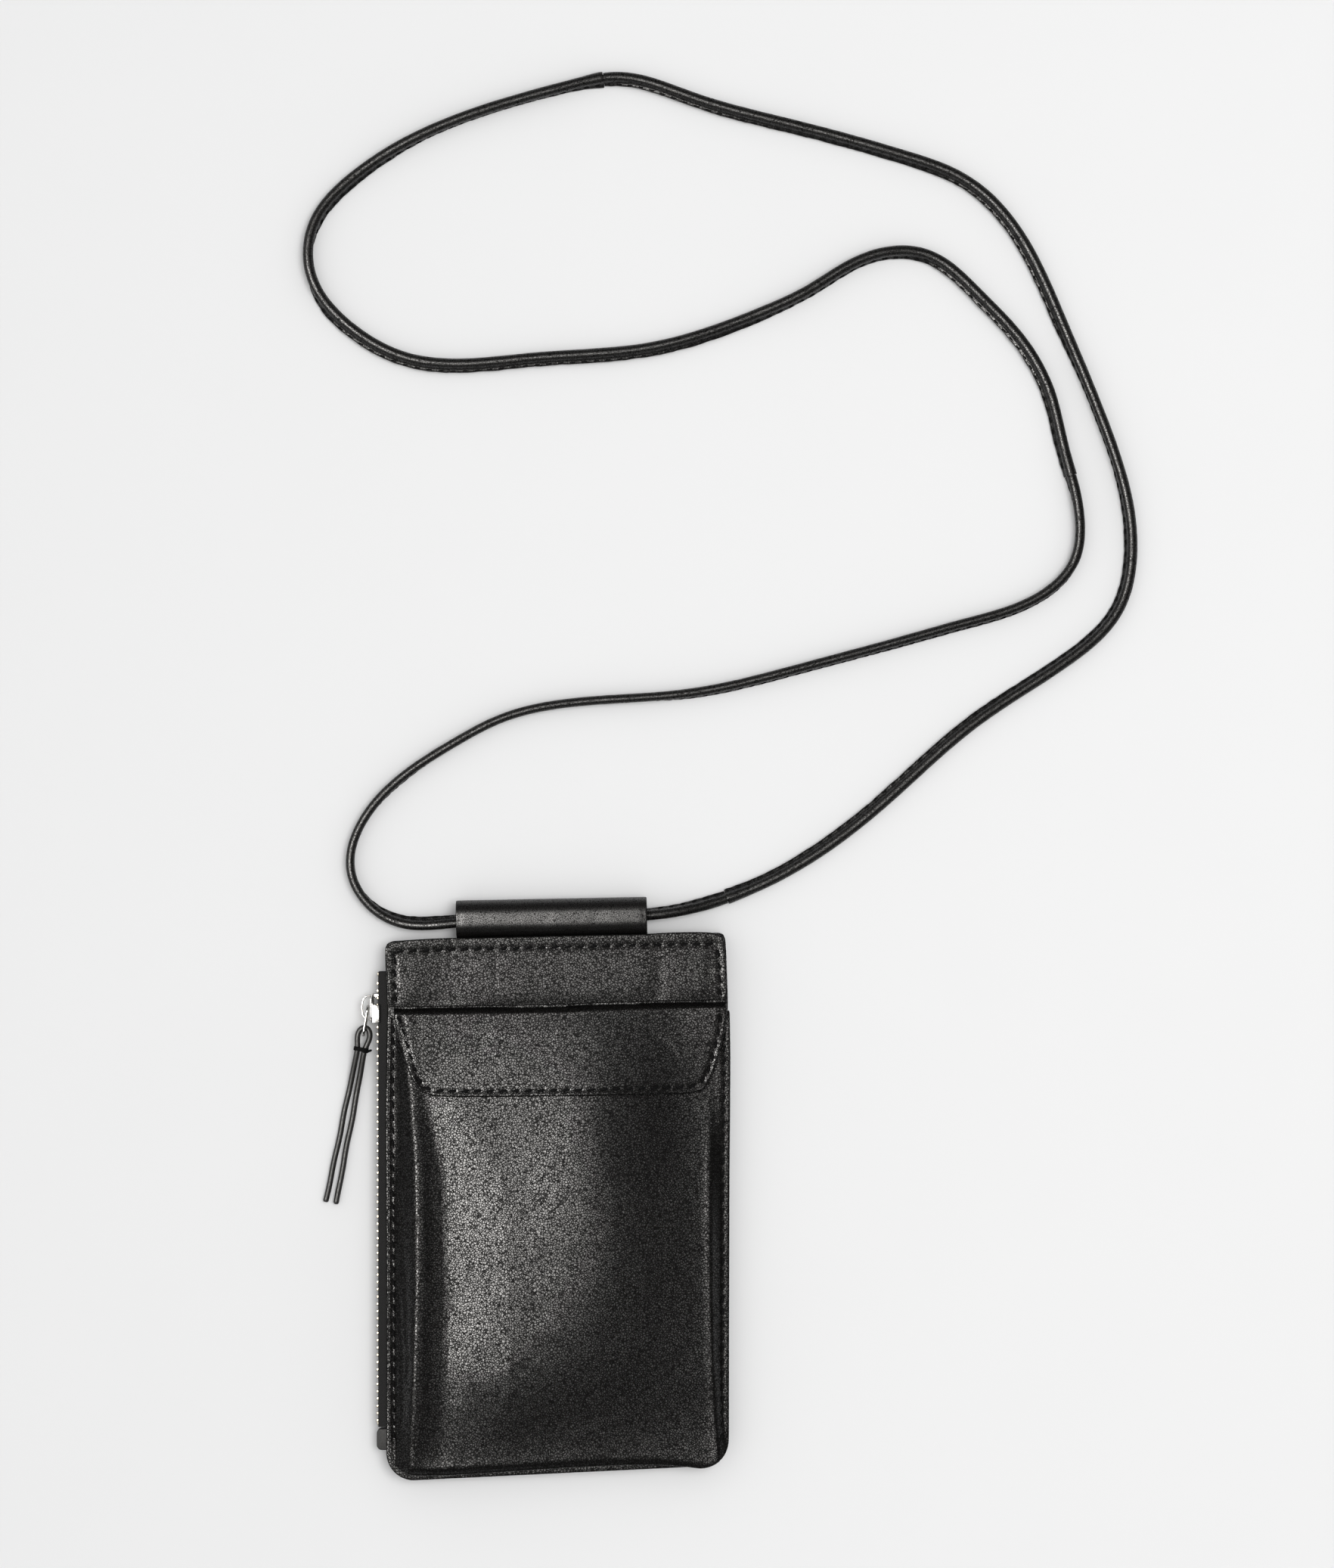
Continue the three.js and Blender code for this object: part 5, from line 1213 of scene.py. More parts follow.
def rbox(c, s, r, n=3):
    """A box with rounded edges: centre, full sizes, radius."""
    c, h = np.array(c, float), np.array(s, float) / 2
    r = min(r, h.min() * 0.98)
    V, F = [], []
    e = [np.r_[-hh, -hh + r * (1 - np.cos(np.linspace(0, math.pi / 2, n + 1)[1:])), hh - r * (1 - np.cos(np.linspace(0, math.pi / 2, n + 1)[1:]))[::-1], hh] for hh in h]
    idx = {}

    def vert(p):
        key = tuple(np.round(p, 6))
        if key not in idx:
            q = np.clip(p, -h + r, h - r)
            d = p - q
            L = np.linalg.norm(d)
            idx[key] = len(V)
            V.append(c + q + (d / L * r if L > 1e-9 else d))
        return idx[key]
    for ax in range(3):
        u, v = (ax + 1) % 3, (ax + 2) % 3
        for sg in (-1, 1):
            for i in range(len(e[u]) - 1):
                for j in range(len(e[v]) - 1):
                    f = []
                    for a, b in ((i, j), (i + 1, j), (i + 1, j + 1), (i, j + 1)):
                        p = np.zeros(3)
                        p[ax], p[u], p[v] = sg * h[ax], e[u][a], e[v][b]
                        f.append(vert(p))
                    if len(set(f)) >= 3:
                        f = list(dict.fromkeys(f))
                        F.append(f if sg > 0 else f[::-1])
    return np.array(V), F


def teeth(name, sign, rep):
    parts = []
    y = -69.9
    ys = []
    while y < 75.4:
        ys.append(y)
        y += 1.2
    ys = ys[0 if sign > 0 else 1::2]
    for k, y in enumerate(ys):
        j = 0.05 * math.sin(k * 2.3)
        z = 3.6 + sign * 1.18
        # the far row sits a little further in under the tape
        x = -59.02 + j if sign > 0 else -58.80 + j
        wd = 1.62 if sign > 0 else 1.15
        parts.append(rbox((x, y, z), (wd, 1.12, 0.86), 0.22, 2))          # clamp round the cord
        parts.append(rbox((x, y, 3.6 + sign * 0.72), (wd - 0.25, 0.86, 0.36), 0.16, 2))   # head
        parts.append(rbox((x, y, 3.6 + sign * 0.90), (wd - 0.45, 0.72, 0.5), 0.12, 1))
    V, F = merge(parts)
    return make(name, V, F, M_TOOTH, "pouch", [rep], angle=50)


teeth("zip_teeth_front_row", 1, "zip_teeth_front")
teeth("zip_teeth_back_row", -1, "zip_teeth_back")
v1, f1 = rbox((-59.0, 77.1, 3.6), (1.2, 1.35, 1.8), 0.3, 3)
make("zip_stop_top", v1, f1, M_TOOTH, "pouch", ["zip_top_stop"], angle=50)
v1, f1 = rbox((-59.0, -70.95, 3.6), (1.2, 1.45, 1.8), 0.3, 3)
make("zip_stop_bottom", v1, f1, M_TOOTH, "pouch", ["zip_bottom_stop"], angle=50)


def extrude(outline, a0, a1, r, axis, k=3):
    """A plate with rounded edges from an anticlockwise outline; axis 'x' maps (y, z), 'z' maps (x, y)."""
    o = np.asarray(outline, float)
    low = [(a0 + r - r * math.cos(math.pi / 2 * q / k), r * (1 - math.sin(math.pi / 2 * q / k))) for q in range(k + 1)]
    rings = low + [(a0 + a1 - a, ins) for a, ins in low[::-1]]
    V = []
    for a, ins in rings:
        p = o + inward(o, ins)
        if axis == "x":
            V.append(np.c_[np.full(len(p), a), p])
        elif axis == "y":
            V.append(np.c_[p[:, 0], np.full(len(p), a), p[:, 1]])
        else:
            V.append(np.c_[p, np.full(len(p), a)])
    n, m = len(rings), len(o)
    i = np.arange(m)
    F = []
    for q in range(n - 1):
        a, b = q * m, (q + 1) * m
        F += np.stack([a + i, a + (i + 1) % m, b + (i + 1) % m, b + i], 1).tolist()
    F += [list(range(m))[::-1], [(n - 1) * m + q for q in range(m)]]
    V = np.concatenate(V)
    if volume(V, F) < 0:
        F = [f[::-1] for f in F]
    return V, F


def rrect(x0, x1, y0, y1, r, n=6):
    return np.concatenate([arc(x1 - r, y0 + r, r, -90, 0, n), arc(x1 - r, y1 - r, r, 0, 90, n), arc(x0 + r, y1 - r, r, 90, 180, n), arc(x0 + r, y0 + r, r, 180, 270, n)])


tab = rrect(-59.75, -50.7, -79.7, -72.5, 1.7, 8)
V, F = extrude(tab, 2.15, 4.95, 0.45, "z", 4)
make("zip_end_tab_leather", V, F, M_EDGE, "pouch", ["zip_end_tab"], angle=60)

# slider: two plates joined by a post, side lips that hold the teeth, and an arched crown
shield = np.array([(61.1, 1.6), (61.6, 0.9), (62.6, 0.5), (66.5, 0.45), (68.3, 0.75), (69.8, 1.5), (70.8, 2.6), (71.0, 3.6), (70.8, 4.6), (69.8, 5.7), (68.3, 6.45), (66.5, 6.75), (62.6, 6.7), (61.6, 6.3), (61.1, 5.6)])
shield = resample(np.r_[shield, shield[:1]], 61, True)[:-1]
P_ = [extrude(shield, -61.5, -60.72, 0.24, "x", 4)]
P_.append(rbox((-59.95, 64.1, 6.52), (2.45, 6.1, 0.62), 0.24, 3))
P_.append(rbox((-59.95, 64.1, 0.68), (2.45, 6.1, 0.62), 0.24, 3))
P_.append(rbox((-59.15, 69.95, 3.6), (3.6, 1.45, 0.88), 0.3, 3))
P_.append(extrude(rrect(61.5, 70.8, 2.35, 4.85, 0.9, 6), -57.7, -57.12, 0.2, "x", 3))
V, F = merge(P_)
make("slider_body_plates", V, F, M_SLIDER, "slider", ["slider_body"], angle=50)


def bar(path, w, t, up=(0, 0, 1), r=0.25, n=2):
    """A flat strip of metal swept along a path: w along up, t across it."""
    P = np.asarray(path, float)
    T = np.gradient(P, axis=0)
    T /= np.linalg.norm(T, axis=1)[:, None]
    up = np.array(up, float)
    S = np.cross(T, up)
    S /= np.linalg.norm(S, axis=1)[:, None]
    sec = rrect(-t / 2, t / 2, -w / 2, w / 2, min(r, t * 0.48), 4)
    V = P[:, None] + S[:, None] * sec[None, :, :1] + up[None, None] * sec[None, :, 1:]
    m = len(sec)
    F = []
    i = np.arange(m)
    for k in range(len(P) - 1):
        a, b = k * m, (k + 1) * m
        F += np.stack([a + i, a + (i + 1) % m, b + (i + 1) % m, b + i], 1).tolist()
    F += [list(range(m))[::-1], [(len(P) - 1) * m + q for q in range(m)]]
    V = V.reshape(-1, 3)
    if volume(V, F) < 0:
        F = [f[::-1] for f in F]
    return V, F


crown = resample([(-61.66, 62.2, 3.6), (-62.6, 61.98, 3.6), (-63.9, 62.6, 3.6), (-64.6, 64.2, 3.6), (-64.72, 66.2, 3.6), (-64.5, 68.2, 3.6), (-63.7, 69.6, 3.6), (-62.6, 70.02, 3.6), (-61.66, 69.9, 3.6)], 40)
V, F = bar(crown, 1.9, 0.55)
make("slider_crown_arch", V, F, M_SLIDER, "slider", ["slider_crown"], angle=50)
V, F = bar(resample([(-61.92, 63.2, 3.6), (-61.95, 64.5, 3.6), (-61.9, 66.5, 3.6), (-61.95, 68.0, 3.6), (-61.92, 69.0, 3.6)], 16), 0.76, 0.28, r=0.1)
make("slider_spring_leaf", V, F, M_STEEL, "slider", ["slider_lock_spring"], angle=50)


def wire(path, r, normal, closed=False, m=12, ry=None):
    """A round wire along a path; normal is a direction roughly across it."""
    P = np.asarray(path, float)
    T = (np.roll(P, -1, 0) - np.roll(P, 1, 0)) if closed else np.gradient(P, axis=0)
    T /= np.maximum(np.linalg.norm(T, axis=1), 1e-9)[:, None]
    N = np.asarray(normal, float)
    N = np.repeat(N[None], len(P), 0) if N.ndim == 1 else N
    N = N - T * (N * T).sum(1)[:, None]
    N /= np.linalg.norm(N, axis=1)[:, None]
    S = np.cross(T, N)
    r = np.broadcast_to(np.asarray(r, float), (len(P),))
    a = np.arange(m) * 2 * math.pi / m
    V = P[:, None] + r[:, None, None] * (np.cos(a)[None, :, None] * N[:, None] + np.sin(a)[None, :, None] * S[:, None])
    F = []
    i = np.arange(m)
    n = len(P)
    for k in range(n if closed else n - 1):
        p, q = k * m, ((k + 1) % n) * m
        F += np.stack([p + i, p + (i + 1) % m, q + (i + 1) % m, q + i], 1).tolist()
    if not closed:
        F += [list(range(m))[::-1], [(n - 1) * m + q for q in range(m)]]
    V = V.reshape(-1, 3)
    if volume(V, F) < 0:
        F = [f[::-1] for f in F]
    return V, F


lean = math.radians(8.7)
rd = np.array([-math.sin(lean), -math.cos(lean), 0])
piv = np.array([-62.7, 66.6, 3.6])
hw, rr_ = 2.5, 1.7
ring2 = rrect(0.0, 9.8, -hw, hw, rr_, 9)        # (along the pull, across it in z)
rp = piv[None] + rd[None] * ring2[:, :1] + np.array([0, 0, 1.0])[None] * ring2[:, 1:]
rp = np.concatenate([resample(np.r_[rp, rp[:1]], 97, False)[:-1]])
V, F = wire(rp, 0.42, np.cross(rd, [0, 0, 1.0]), True, 14)
make("pull_ring_wire", V, F, M_SLIDER, "pull", ["pull_ring"])

# tassel: one lace doubled through the ring and bound below it
tl = math.radians(11.3)
td = np.array([-math.sin(tl), -math.cos(tl), 0])
tw = np.array([math.cos(tl), -math.sin(tl), 0])
tc = np.array([-64.182 + 0.1, 56.913, 0.0])
half = [(-3.2, 0, 3.6), (-2.7, 1.2, 3.6), (-1.2, 2.1, 3.6), (0.6, 2.3, 3.6), (2.2, 1.8, 3.6), (3.6, 1.25, 3.6), (5.4, 1.1, 3.5), (8, 1.15, 3.0), (12, 1.25, 2.1), (17, 1.3, 1.3), (24, 1.45, 1.05), (36, 1.5, 1.05), (47, 1.6, 1.05), (56.6, 1.8, 1.05)]
pts = [(s, -w, z) for s, w, z in half[::-1]] + [(s, w, z) for s, w, z in half[1:]]
pts = np.array(pts)
path = tc + pts[:, :1] * td + pts[:, 1:2] * tw + np.c_[np.zeros((len(pts), 2)), pts[:, 2]]
cp = resample(path, 260)
s_al = np.linspace(0, 1, 260)
wob = 0.10 * np.sin(s_al * 43) * smooth(np.abs(s_al - 0.5) * 6 - 0.6)
cp = cp + wob[:, None] * tw
rad = 0.93 * np.clip(np.sqrt(np.minimum(s_al, 1 - s_al) / 0.004), 0.72, 1)
V, F = wire(cp, rad, (0, 0, 1), False, 16)
make("tassel_lace", V, F, M_CORD, "tassel", ["tassel_cord"])
cc = tc + 4.8 * td + np.array([0, 0, 3.52])
turns = 4.2
tt = np.linspace(0, turns * 2 * math.pi, 170)
hx, hz = 2.02 + 0.24, 0.95 + 0.26
coil = cc[None] + (np.sign(np.cos(tt)) * np.abs(np.cos(tt)) ** 0.8 * hx)[:, None] * tw + (np.sign(np.sin(tt)) * np.abs(np.sin(tt)) ** 0.8 * hz)[:, None] * np.array([0, 0, 1.0]) + (tt / tt[-1] * 1.25 - 0.62)[:, None] * td
c_parts = [wire(coil, 0.24, td, False, 8)]
k1 = cc + 2.1 * tw + 0.3 * td + np.array([0, 0, 0.7])
c_parts.append(stitch(k1, k1 + 1.5 * tw - 0.9 * td, (0, 0, 1), 0.4, 0.1))
V, F = merge(c_parts)
make("tassel_binding_thread", V, F, M_THREAD, "tassel", ["tassel_binding"])


# ------------------------------------------------------------------ neck strap
STEP = 7.95873
STRAP = [  # x, y, flange angle, radius at even steps along the strap
    (36.63, 97.28, -44, 1.7), (44.43, 98.73, -36, 1.7), (52.12, 100.79, -24, 1.7), (59.66, 103.40, -16, 1.7), (67.01, 106.51, -14, 1.7),
    (74.16, 110.06, -14, 1.7), (81.06, 114.01, -13, 1.7), (87.73, 118.30, -13, 1.7), (94.18, 122.91, -13, 1.7), (100.44, 127.79, -12, 1.7),
    (106.54, 132.91, -12, 1.7), (112.50, 138.21, -11, 1.7), (118.40, 143.60, -11, 1.7), (124.32, 148.97, -11, 1.7), (130.32, 154.19, -11, 1.7),
    (136.51, 159.17, -14, 1.7), (142.92, 163.81, -19, 1.7), (149.52, 168.21, -24, 1.7), (156.21, 172.52, -29, 1.7), (162.90, 176.89, -32, 1.7),
    (169.50, 181.46, -33, 1.7), (175.80, 186.41, -34, 1.7), (181.33, 192.00, -35, 1.7), (185.56, 198.50, -36, 1.7), (188.16, 205.98, -36, 1.7),
    (189.32, 214.01, -37, 1.7), (189.36, 222.08, -40, 1.7), (188.49, 229.97, -46, 1.7), (186.88, 237.71, -53, 1.7), (184.72, 245.33, -57, 1.7),
    (182.17, 252.86, -58, 1.7), (179.39, 260.33, -58, 1.7), (176.48, 267.74, -58, 1.7), (173.47, 275.13, -55, 1.7), (170.41, 282.48, -43, 1.7),
    (167.34, 289.82, -28, 1.7), (164.27, 297.14, -19, 1.7), (161.10, 304.42, -17, 1.7), (157.68, 311.62, -16, 1.7), (153.84, 318.62, -15, 1.7),
    (149.39, 325.25, -14, 1.7), (144.22, 331.30, -13, 1.7), (138.31, 336.55, -13, 1.7), (131.67, 340.77, -15, 1.7), (124.40, 343.94, -21, 1.7),
    (116.79, 346.47, -27, 1.7), (109.11, 348.78, -28, 1.7), (101.45, 351.02, -27, 1.7), (93.79, 353.16, -25, 1.7), (86.13, 355.21, -24, 1.7),
    (78.44, 357.16, -22, 1.7), (70.73, 359.04, -19, 1.7), (63.01, 360.95, -15, 1.7), (55.32, 363.00, -12, 1.7), (47.68, 365.32, -8, 1.7),
    (40.11, 367.99, -6, 1.7), (32.56, 370.70, -6, 1.7), (24.91, 372.65, -8, 1.7), (17.11, 373.08, -21, 1.7), (9.35, 371.74, -43, 1.7),
    (1.62, 369.69, -59, 1.7), (-6.10, 367.61, -64, 1.7), (-13.78, 365.45, -65, 1.7), (-21.41, 363.14, -65, 1.7), (-28.95, 360.63, -64, 1.7),
    (-36.36, 357.85, -63, 1.7), (-43.63, 354.73, -61, 1.7), (-50.72, 351.23, -54, 1.7), (-57.60, 347.27, -43, 1.7), (-64.24, 342.79, -34, 1.7),
    (-70.60, 337.73, -31, 1.7), (-76.24, 331.96, -35, 1.7), (-80.39, 325.30, -47, 1.7), (-82.40, 317.76, -70, 1.7), (-82.10, 309.96, -97, 1.7),
    (-79.45, 302.66, -129, 1.7), (-74.76, 296.24, -157, 1.7), (-68.78, 290.67, -169, 1.7), (-62.13, 285.96, -171, 1.7), (-55.04, 282.29, -171, 1.7),
    (-47.63, 279.89, -171, 1.7), (-39.96, 278.73, -172, 1.7), (-32.11, 278.50, -172, 1.7), (-24.14, 278.92, -172, 1.7), (-16.10, 279.68, -172, 1.7),
    (-8.06, 280.48, -173, 1.7), (-0.06, 281.08, -173, 1.7), (7.88, 281.56, -173, 1.7), (15.76, 282.10, -174, 1.7), (23.60, 282.88, -173, 1.7),
    (31.39, 284.07, -172, 1.7), (39.14, 285.81, -170, 1.7), (46.83, 288.03, -168, 1.7), (54.44, 290.61, -165, 1.7), (61.95, 293.44, -156, 1.7),
    (69.33, 296.41, -143, 1.7), (76.56, 299.58, -133, 1.7), (83.54, 303.24, -130, 1.7), (90.30, 307.47, -129, 1.7), (97.23, 311.52, -129, 1.7),
    (104.72, 314.48, -130, 1.7), (112.59, 315.76, -141, 1.7), (120.28, 314.97, -157, 1.7), (127.26, 311.78, -169, 1.7), (133.51, 306.73, -172, 1.7),
    (139.35, 300.95, -173, 1.7), (145.00, 295.27, -173, 1.7), (150.32, 289.48, -173, 1.7), (155.11, 283.24, -172, 1.7), (159.18, 276.42, -166, 1.7),
    (162.33, 269.11, -158, 1.7), (164.52, 261.43, -152, 1.7), (166.27, 253.63, -149, 1.7), (168.17, 245.97, -141, 1.69),
    (170.16, 238.35, -122, 1.67), (171.70, 230.41, -102, 1.65), (172.17, 222.24, -85, 1.63), (170.75, 214.55, -70, 1.61),
    (166.79, 208.04, -60, 1.57), (160.80, 202.89, -56, 1.52), (153.73, 199.03, -54, 1.49), (146.27, 196.23, -51, 1.48), (138.60, 194.04, -50, 1.48),
    (130.90, 192.00, -49, 1.48), (123.24, 189.85, -50, 1.48), (115.59, 187.68, -51, 1.48), (107.94, 185.55, -52, 1.47), (100.28, 183.46, -54, 1.47),
    (92.60, 181.40, -55, 1.47), (84.91, 179.35, -56, 1.47), (77.22, 177.29, -56, 1.47), (69.51, 175.25, -56, 1.47), (61.78, 173.32, -55, 1.47),
    (54.02, 171.60, -55, 1.47), (46.21, 170.19, -57, 1.47), (38.35, 169.17, -62, 1.47), (30.43, 168.48, -72, 1.46), (22.49, 167.97, -81, 1.46),
    (14.52, 167.46, -90, 1.46), (6.56, 166.80, -96, 1.46), (-1.38, 165.81, -100, 1.46), (-9.21, 164.31, -100, 1.46), (-16.78, 162.10, -100, 1.46),
    (-24.01, 159.04, -99, 1.46), (-30.98, 155.30, -95, 1.46), (-37.90, 151.24, -83, 1.46), (-44.73, 146.93, -70, 1.46), (-51.24, 142.23, -64, 1.45),
    (-57.18, 136.96, -66, 1.45), (-62.28, 130.96, -75, 1.45), (-66.28, 124.07, -92, 1.45), (-68.48, 116.54, -102, 1.45), (-67.90, 108.89, -93, 1.47),
    (-64.12, 101.82, -69, 1.51), (-58.02, 96.39, -44, 1.55), (-50.68, 93.60, -24, 1.59), (-42.84, 93.16, -14, 1.6), (-34.88, 93.87, -10, 1.62),
    (-26.91, 94.44, -13, 1.63), (-18.96, 94.69, -17, 1.64), (-11.02, 94.88, -21, 1.65), (-3.07, 95.20, -24, 1.66), (4.89, 95.54, -28, 1.67),
    (12.85, 95.79, -32, 1.68), (20.82, 96.01, -37, 1.69), (28.75, 96.43, -42, 1.7),
]
TOTAL = STEP * len(STRAP)
T_IN, T_OUT = 1250.9, 1314.1            # where the strap is inside the tunnel
JOINS = (19.6, 464.1, 904.0)


def strap_path(s):
    """Centre, flange angle and radius at arc lengths s."""
    a = np.array(STRAP + STRAP + STRAP, float)
    n = len(STRAP)
    k = (np.arange(3 * n) - n) * STEP
    lo, hi = n - 6, 2 * n + 6
    a, k = a[lo:hi], k[lo:hi]
    s = np.mod(np.asarray(s, float), TOTAL)
    x, y = spline(k, a[:, 0], s), spline(k, a[:, 1], s)
    th = np.interp(s, k, a[:, 2])
    r = np.interp(s, k, a[:, 3])
    d = np.where(s > T_IN - 200, np.abs(np.clip(np.minimum(s - T_IN, T_OUT - s), -1e9, 0)), 1e9)
    d = np.minimum(d, np.where(s < 300, s + TOTAL - T_OUT, 1e9))
    return x, y, th, r, d


def section(r, fl, wall=0.55, no=22, ni=16, leaf=0.47):
    """Outline in (along flange, across): a tube whose two leaves meet in a sewn flange."""
    a0 = math.asin(min(0.9, (leaf + 0.30) / r))
    ai = math.asin(min(0.9, 0.10 / (r - wall)))
    o = [(r + fl, leaf - 0.12), (r + fl - 0.12, leaf), (r + fl * 0.45, leaf), (r + 0.12, leaf + 0.06)]
    for q in range(no + 1):
        a = a0 + (2 * math.pi - 2 * a0) * q / no
        o.append((r * math.cos(a), r * math.sin(a)))
    o += [(r + 0.12, -leaf - 0.06), (r + fl * 0.45, -leaf), (r + fl - 0.12, -leaf), (r + fl, -leaf + 0.12)]
    o += [(r + fl, -0.10), (r + fl - 0.10, -0.035), (r - wall + 0.5, -0.035)]
    for q in range(ni + 1):
        a = ai + (2 * math.pi - 2 * ai) * (1 - q / ni)
        o.append(((r - wall) * math.cos(a), (r - wall) * math.sin(a)))
    o += [(r - wall + 0.5, 0.035), (r + fl - 0.10, 0.035), (r + fl, 0.10)]
    return np.array(o)


def strap_frame(s):
    x, y, th, r, d = strap_path(s)
    e = 0.5
    x2, y2 = strap_path(s + e)[:2]
    x1, y1 = strap_path(s - e)[:2]
    T = np.stack([x2 - x1, y2 - y1, 0 * x1], 1)
    T /= np.linalg.norm(T, axis=1)[:, None]
    B = np.stack([-T[:, 1], T[:, 0], 0 * x1], 1)
    return x, y, th, r, d, T, B


def strap_height(s):
    """Height of the centre line: on the ground, rising to the tunnel."""
    x, y, th, r, d = strap_path(s)
    a = np.radians(th)
    down = np.maximum(r, np.maximum(0, -np.sin(a)) * (r + 1.3) + 0.45 * np.abs(np.cos(a)))
    low = down + 0.16
    return lerp(4.9, low, smooth((d - 2.6) / 24))


SS = np.arange(0, TOTAL, 0.5)
HH = strap_height(SS)
kk = np.ones(25) / 25
HH = np.convolve(np.r_[HH[-40:], HH, HH[:40]], kk, "same")[40:-40]


def strap_z(s):
    return np.interp(np.mod(s, TOTAL), SS, HH)


def cover(name, s0, s1, rep, flare0=0.0, flare1=0.0, tuck0=0.0, tuck1=0.0, seed=0):
    n = int((s1 - s0) / 1.15)
    s = np.r_[s0, s0 + 0.15, s0 + 0.5, np.linspace(s0 + 1.1, s1 - 1.1, n), s1 - 0.5, s1 - 0.15, s1]
    x, y, th, r, d, T, B = strap_frame(s)
    z = strap_z(s)
    grow = flare0 * (1 - smooth((s - s0) / 9)) + flare1 * (1 - smooth((s1 - s) / 9)) - tuck0 * (1 - smooth((s - s0) / 5)) - tuck1 * (1 - smooth((s1 - s) / 5))
    end = np.minimum(s - s0, s1 - s)
    rnd = 0.10 * np.clip(1 - end / 0.5, 0, 1) ** 2
    V = []
    wv = 0.035 * noise2(s, 0 * s, 5, 50 + seed) + 0.03 * noise2(s, 0 * s, 1.7, 51 + seed)
    ev = 0.16 * noise2(s, 0 * s + 9, 3.1, 52 + seed) + 0.08 * noise2(s, 0 * s + 3, 1.1, 53 + seed)
    for k in range(len(s)):
        inside = 1 - smooth((d[k] - 0.5) / 3.0)
        R = r[k] + grow[k] * 1.0 + wv[k] * (1 - inside)
        sec = section(R - rnd[k] * 0.6, 1.28 + ev[k] * (1 - inside) - rnd[k] - 0.25 * inside, wall=0.5 + max(0.0, grow[k]) * 0.5)
        # seam ripples across the flange
        rip = 0.07 * math.sin(2 * math.pi * s[k] / 3.9) * np.clip((sec[:, 0] - R * 0.95) / 1.0, 0, 1)
        sec = sec + np.c_[0 * rip, rip * (1 - inside)]
        a = math.radians(th[k])
        b = sec[:, 0] * math.cos(a) - sec[:, 1] * math.sin(a)
        u = sec[:, 0] * math.sin(a) + sec[:, 1] * math.cos(a)
        zz = z[k] + u
        V.append(np.stack([x[k] + b * B[k, 0], y[k] + b * B[k, 1], np.maximum(zz, 0.06)], 1))
    m = len(V[0])
    V = np.concatenate(V)
    F = []
    i = np.arange(m)
    for k in range(len(s) - 1):
        a, b = k * m, (k + 1) * m
        F += np.stack([a + i, a + (i + 1) % m, b + (i + 1) % m, b + i], 1).tolist()
    # end caps: quads between the outer run and the inner run of the same section
    for k, fl in ((0, 1), (len(s) - 1, -1)):
        o = k * m
        out_n = 4 + 23 + 4
        outer = list(range(0, out_n))
        inner = list(range(m - 1, out_n - 1, -1))
        F += strip_between(V, [o + q for q in outer], [o + q for q in inner], fl)
    if volume(V, F) < 0:
        F = [f[::-1] for f in F]
    return make(name, V, F, M_STRAP, "strap", [rep], angle=60)


def strip_between(V, a, b, fl):
    i = j = 0
    F = []
    while i < len(a) - 1 or j < len(b) - 1:
        da = np.linalg.norm(V[a[i + 1]] - V[b[j]]) if i < len(a) - 1 else 1e9
        db_ = np.linalg.norm(V[b[j + 1]] - V[a[i]]) if j < len(b) - 1 else 1e9
        if da <= db_:
            F.append([a[i], a[i + 1], b[j]])
            i += 1
        else:
            F.append([a[i], b[j + 1], b[j]])
            j += 1
    return F if fl > 0 else [f[::-1] for f in F]


cover("strap_cover_right_leather", JOINS[0] + 0.06, JOINS[1] - 0.25, "strap_cover_right", tuck0=0.0, flare0=0.22, tuck1=0.12, seed=1)
cover("strap_cover_upper_leather", JOINS[1] - 0.12, JOINS[2] - 0.06, "strap_cover_upper", flare0=0.30, flare1=0.16, seed=2)
cover("strap_cover_lower_leather", JOINS[2] + 0.06, TOTAL + JOINS[0] - 0.06, "strap_cover_lower", tuck0=0.10, tuck1=0.12, seed=3)

# core cord inside the covers
cs = np.arange(0, TOTAL - 0.01, 2.4)
cs = np.linspace(0, TOTAL, len(cs), endpoint=False)
x, y, th, r, d, T, B = strap_frame(cs)
V, F = wire(np.stack([x, y, strap_z(cs)], 1), r - 0.5 - 0.24, (0, 0, 1), True, 12)
make("strap_core_cord", V, F, M_CORE, "strap", ["strap_core"])

# seam stitches on both faces of the flange
parts = []
n_st = int(TOTAL / 3.9)
for k in range(n_st):
    s0 = k * TOTAL / n_st
    if any(abs(s0 + 1.2 - j) < 2.0 for j in JOINS):
        continue
    q = np.array([s0, s0 + 2.3])
    x, y, th, r, d, T, B = strap_frame(q)
    if d.min() < 1.0:
        continue
    z = strap_z(q)
    for g in (0.54, -0.54):
        p = []
        for e in range(2):
            a = math.radians(th[e])
            f = r[e] + 0.72 + 0.07 * (1 if e else -1) * (1 if g > 0 else -1)
            rip = 0.07 * math.sin(2 * math.pi * q[e] / 3.9) * 0.75
            gg = g + rip
            b, u = f * math.cos(a) - gg * math.sin(a), f * math.sin(a) + gg * math.cos(a)
            p.append(np.array([x[e] + b * B[e, 0], y[e] + b * B[e, 1], max(z[e] + u, 0.3)]))
        a = math.radians(th.mean())
        upv = np.array([-math.sin(a) * B[0, 0], -math.sin(a) * B[0, 1], math.cos(a)]) * (1 if g > 0 else -1)
        parts.append(stitch(p[0], p[1], upv, 0.26, 0.22, 6, 7))
V, F = merge(parts)
V[:, 2] = np.maximum(V[:, 2], 0.03)
make("strap_stitches", V, F, M_THREAD, "strap", ["strap_thread"])


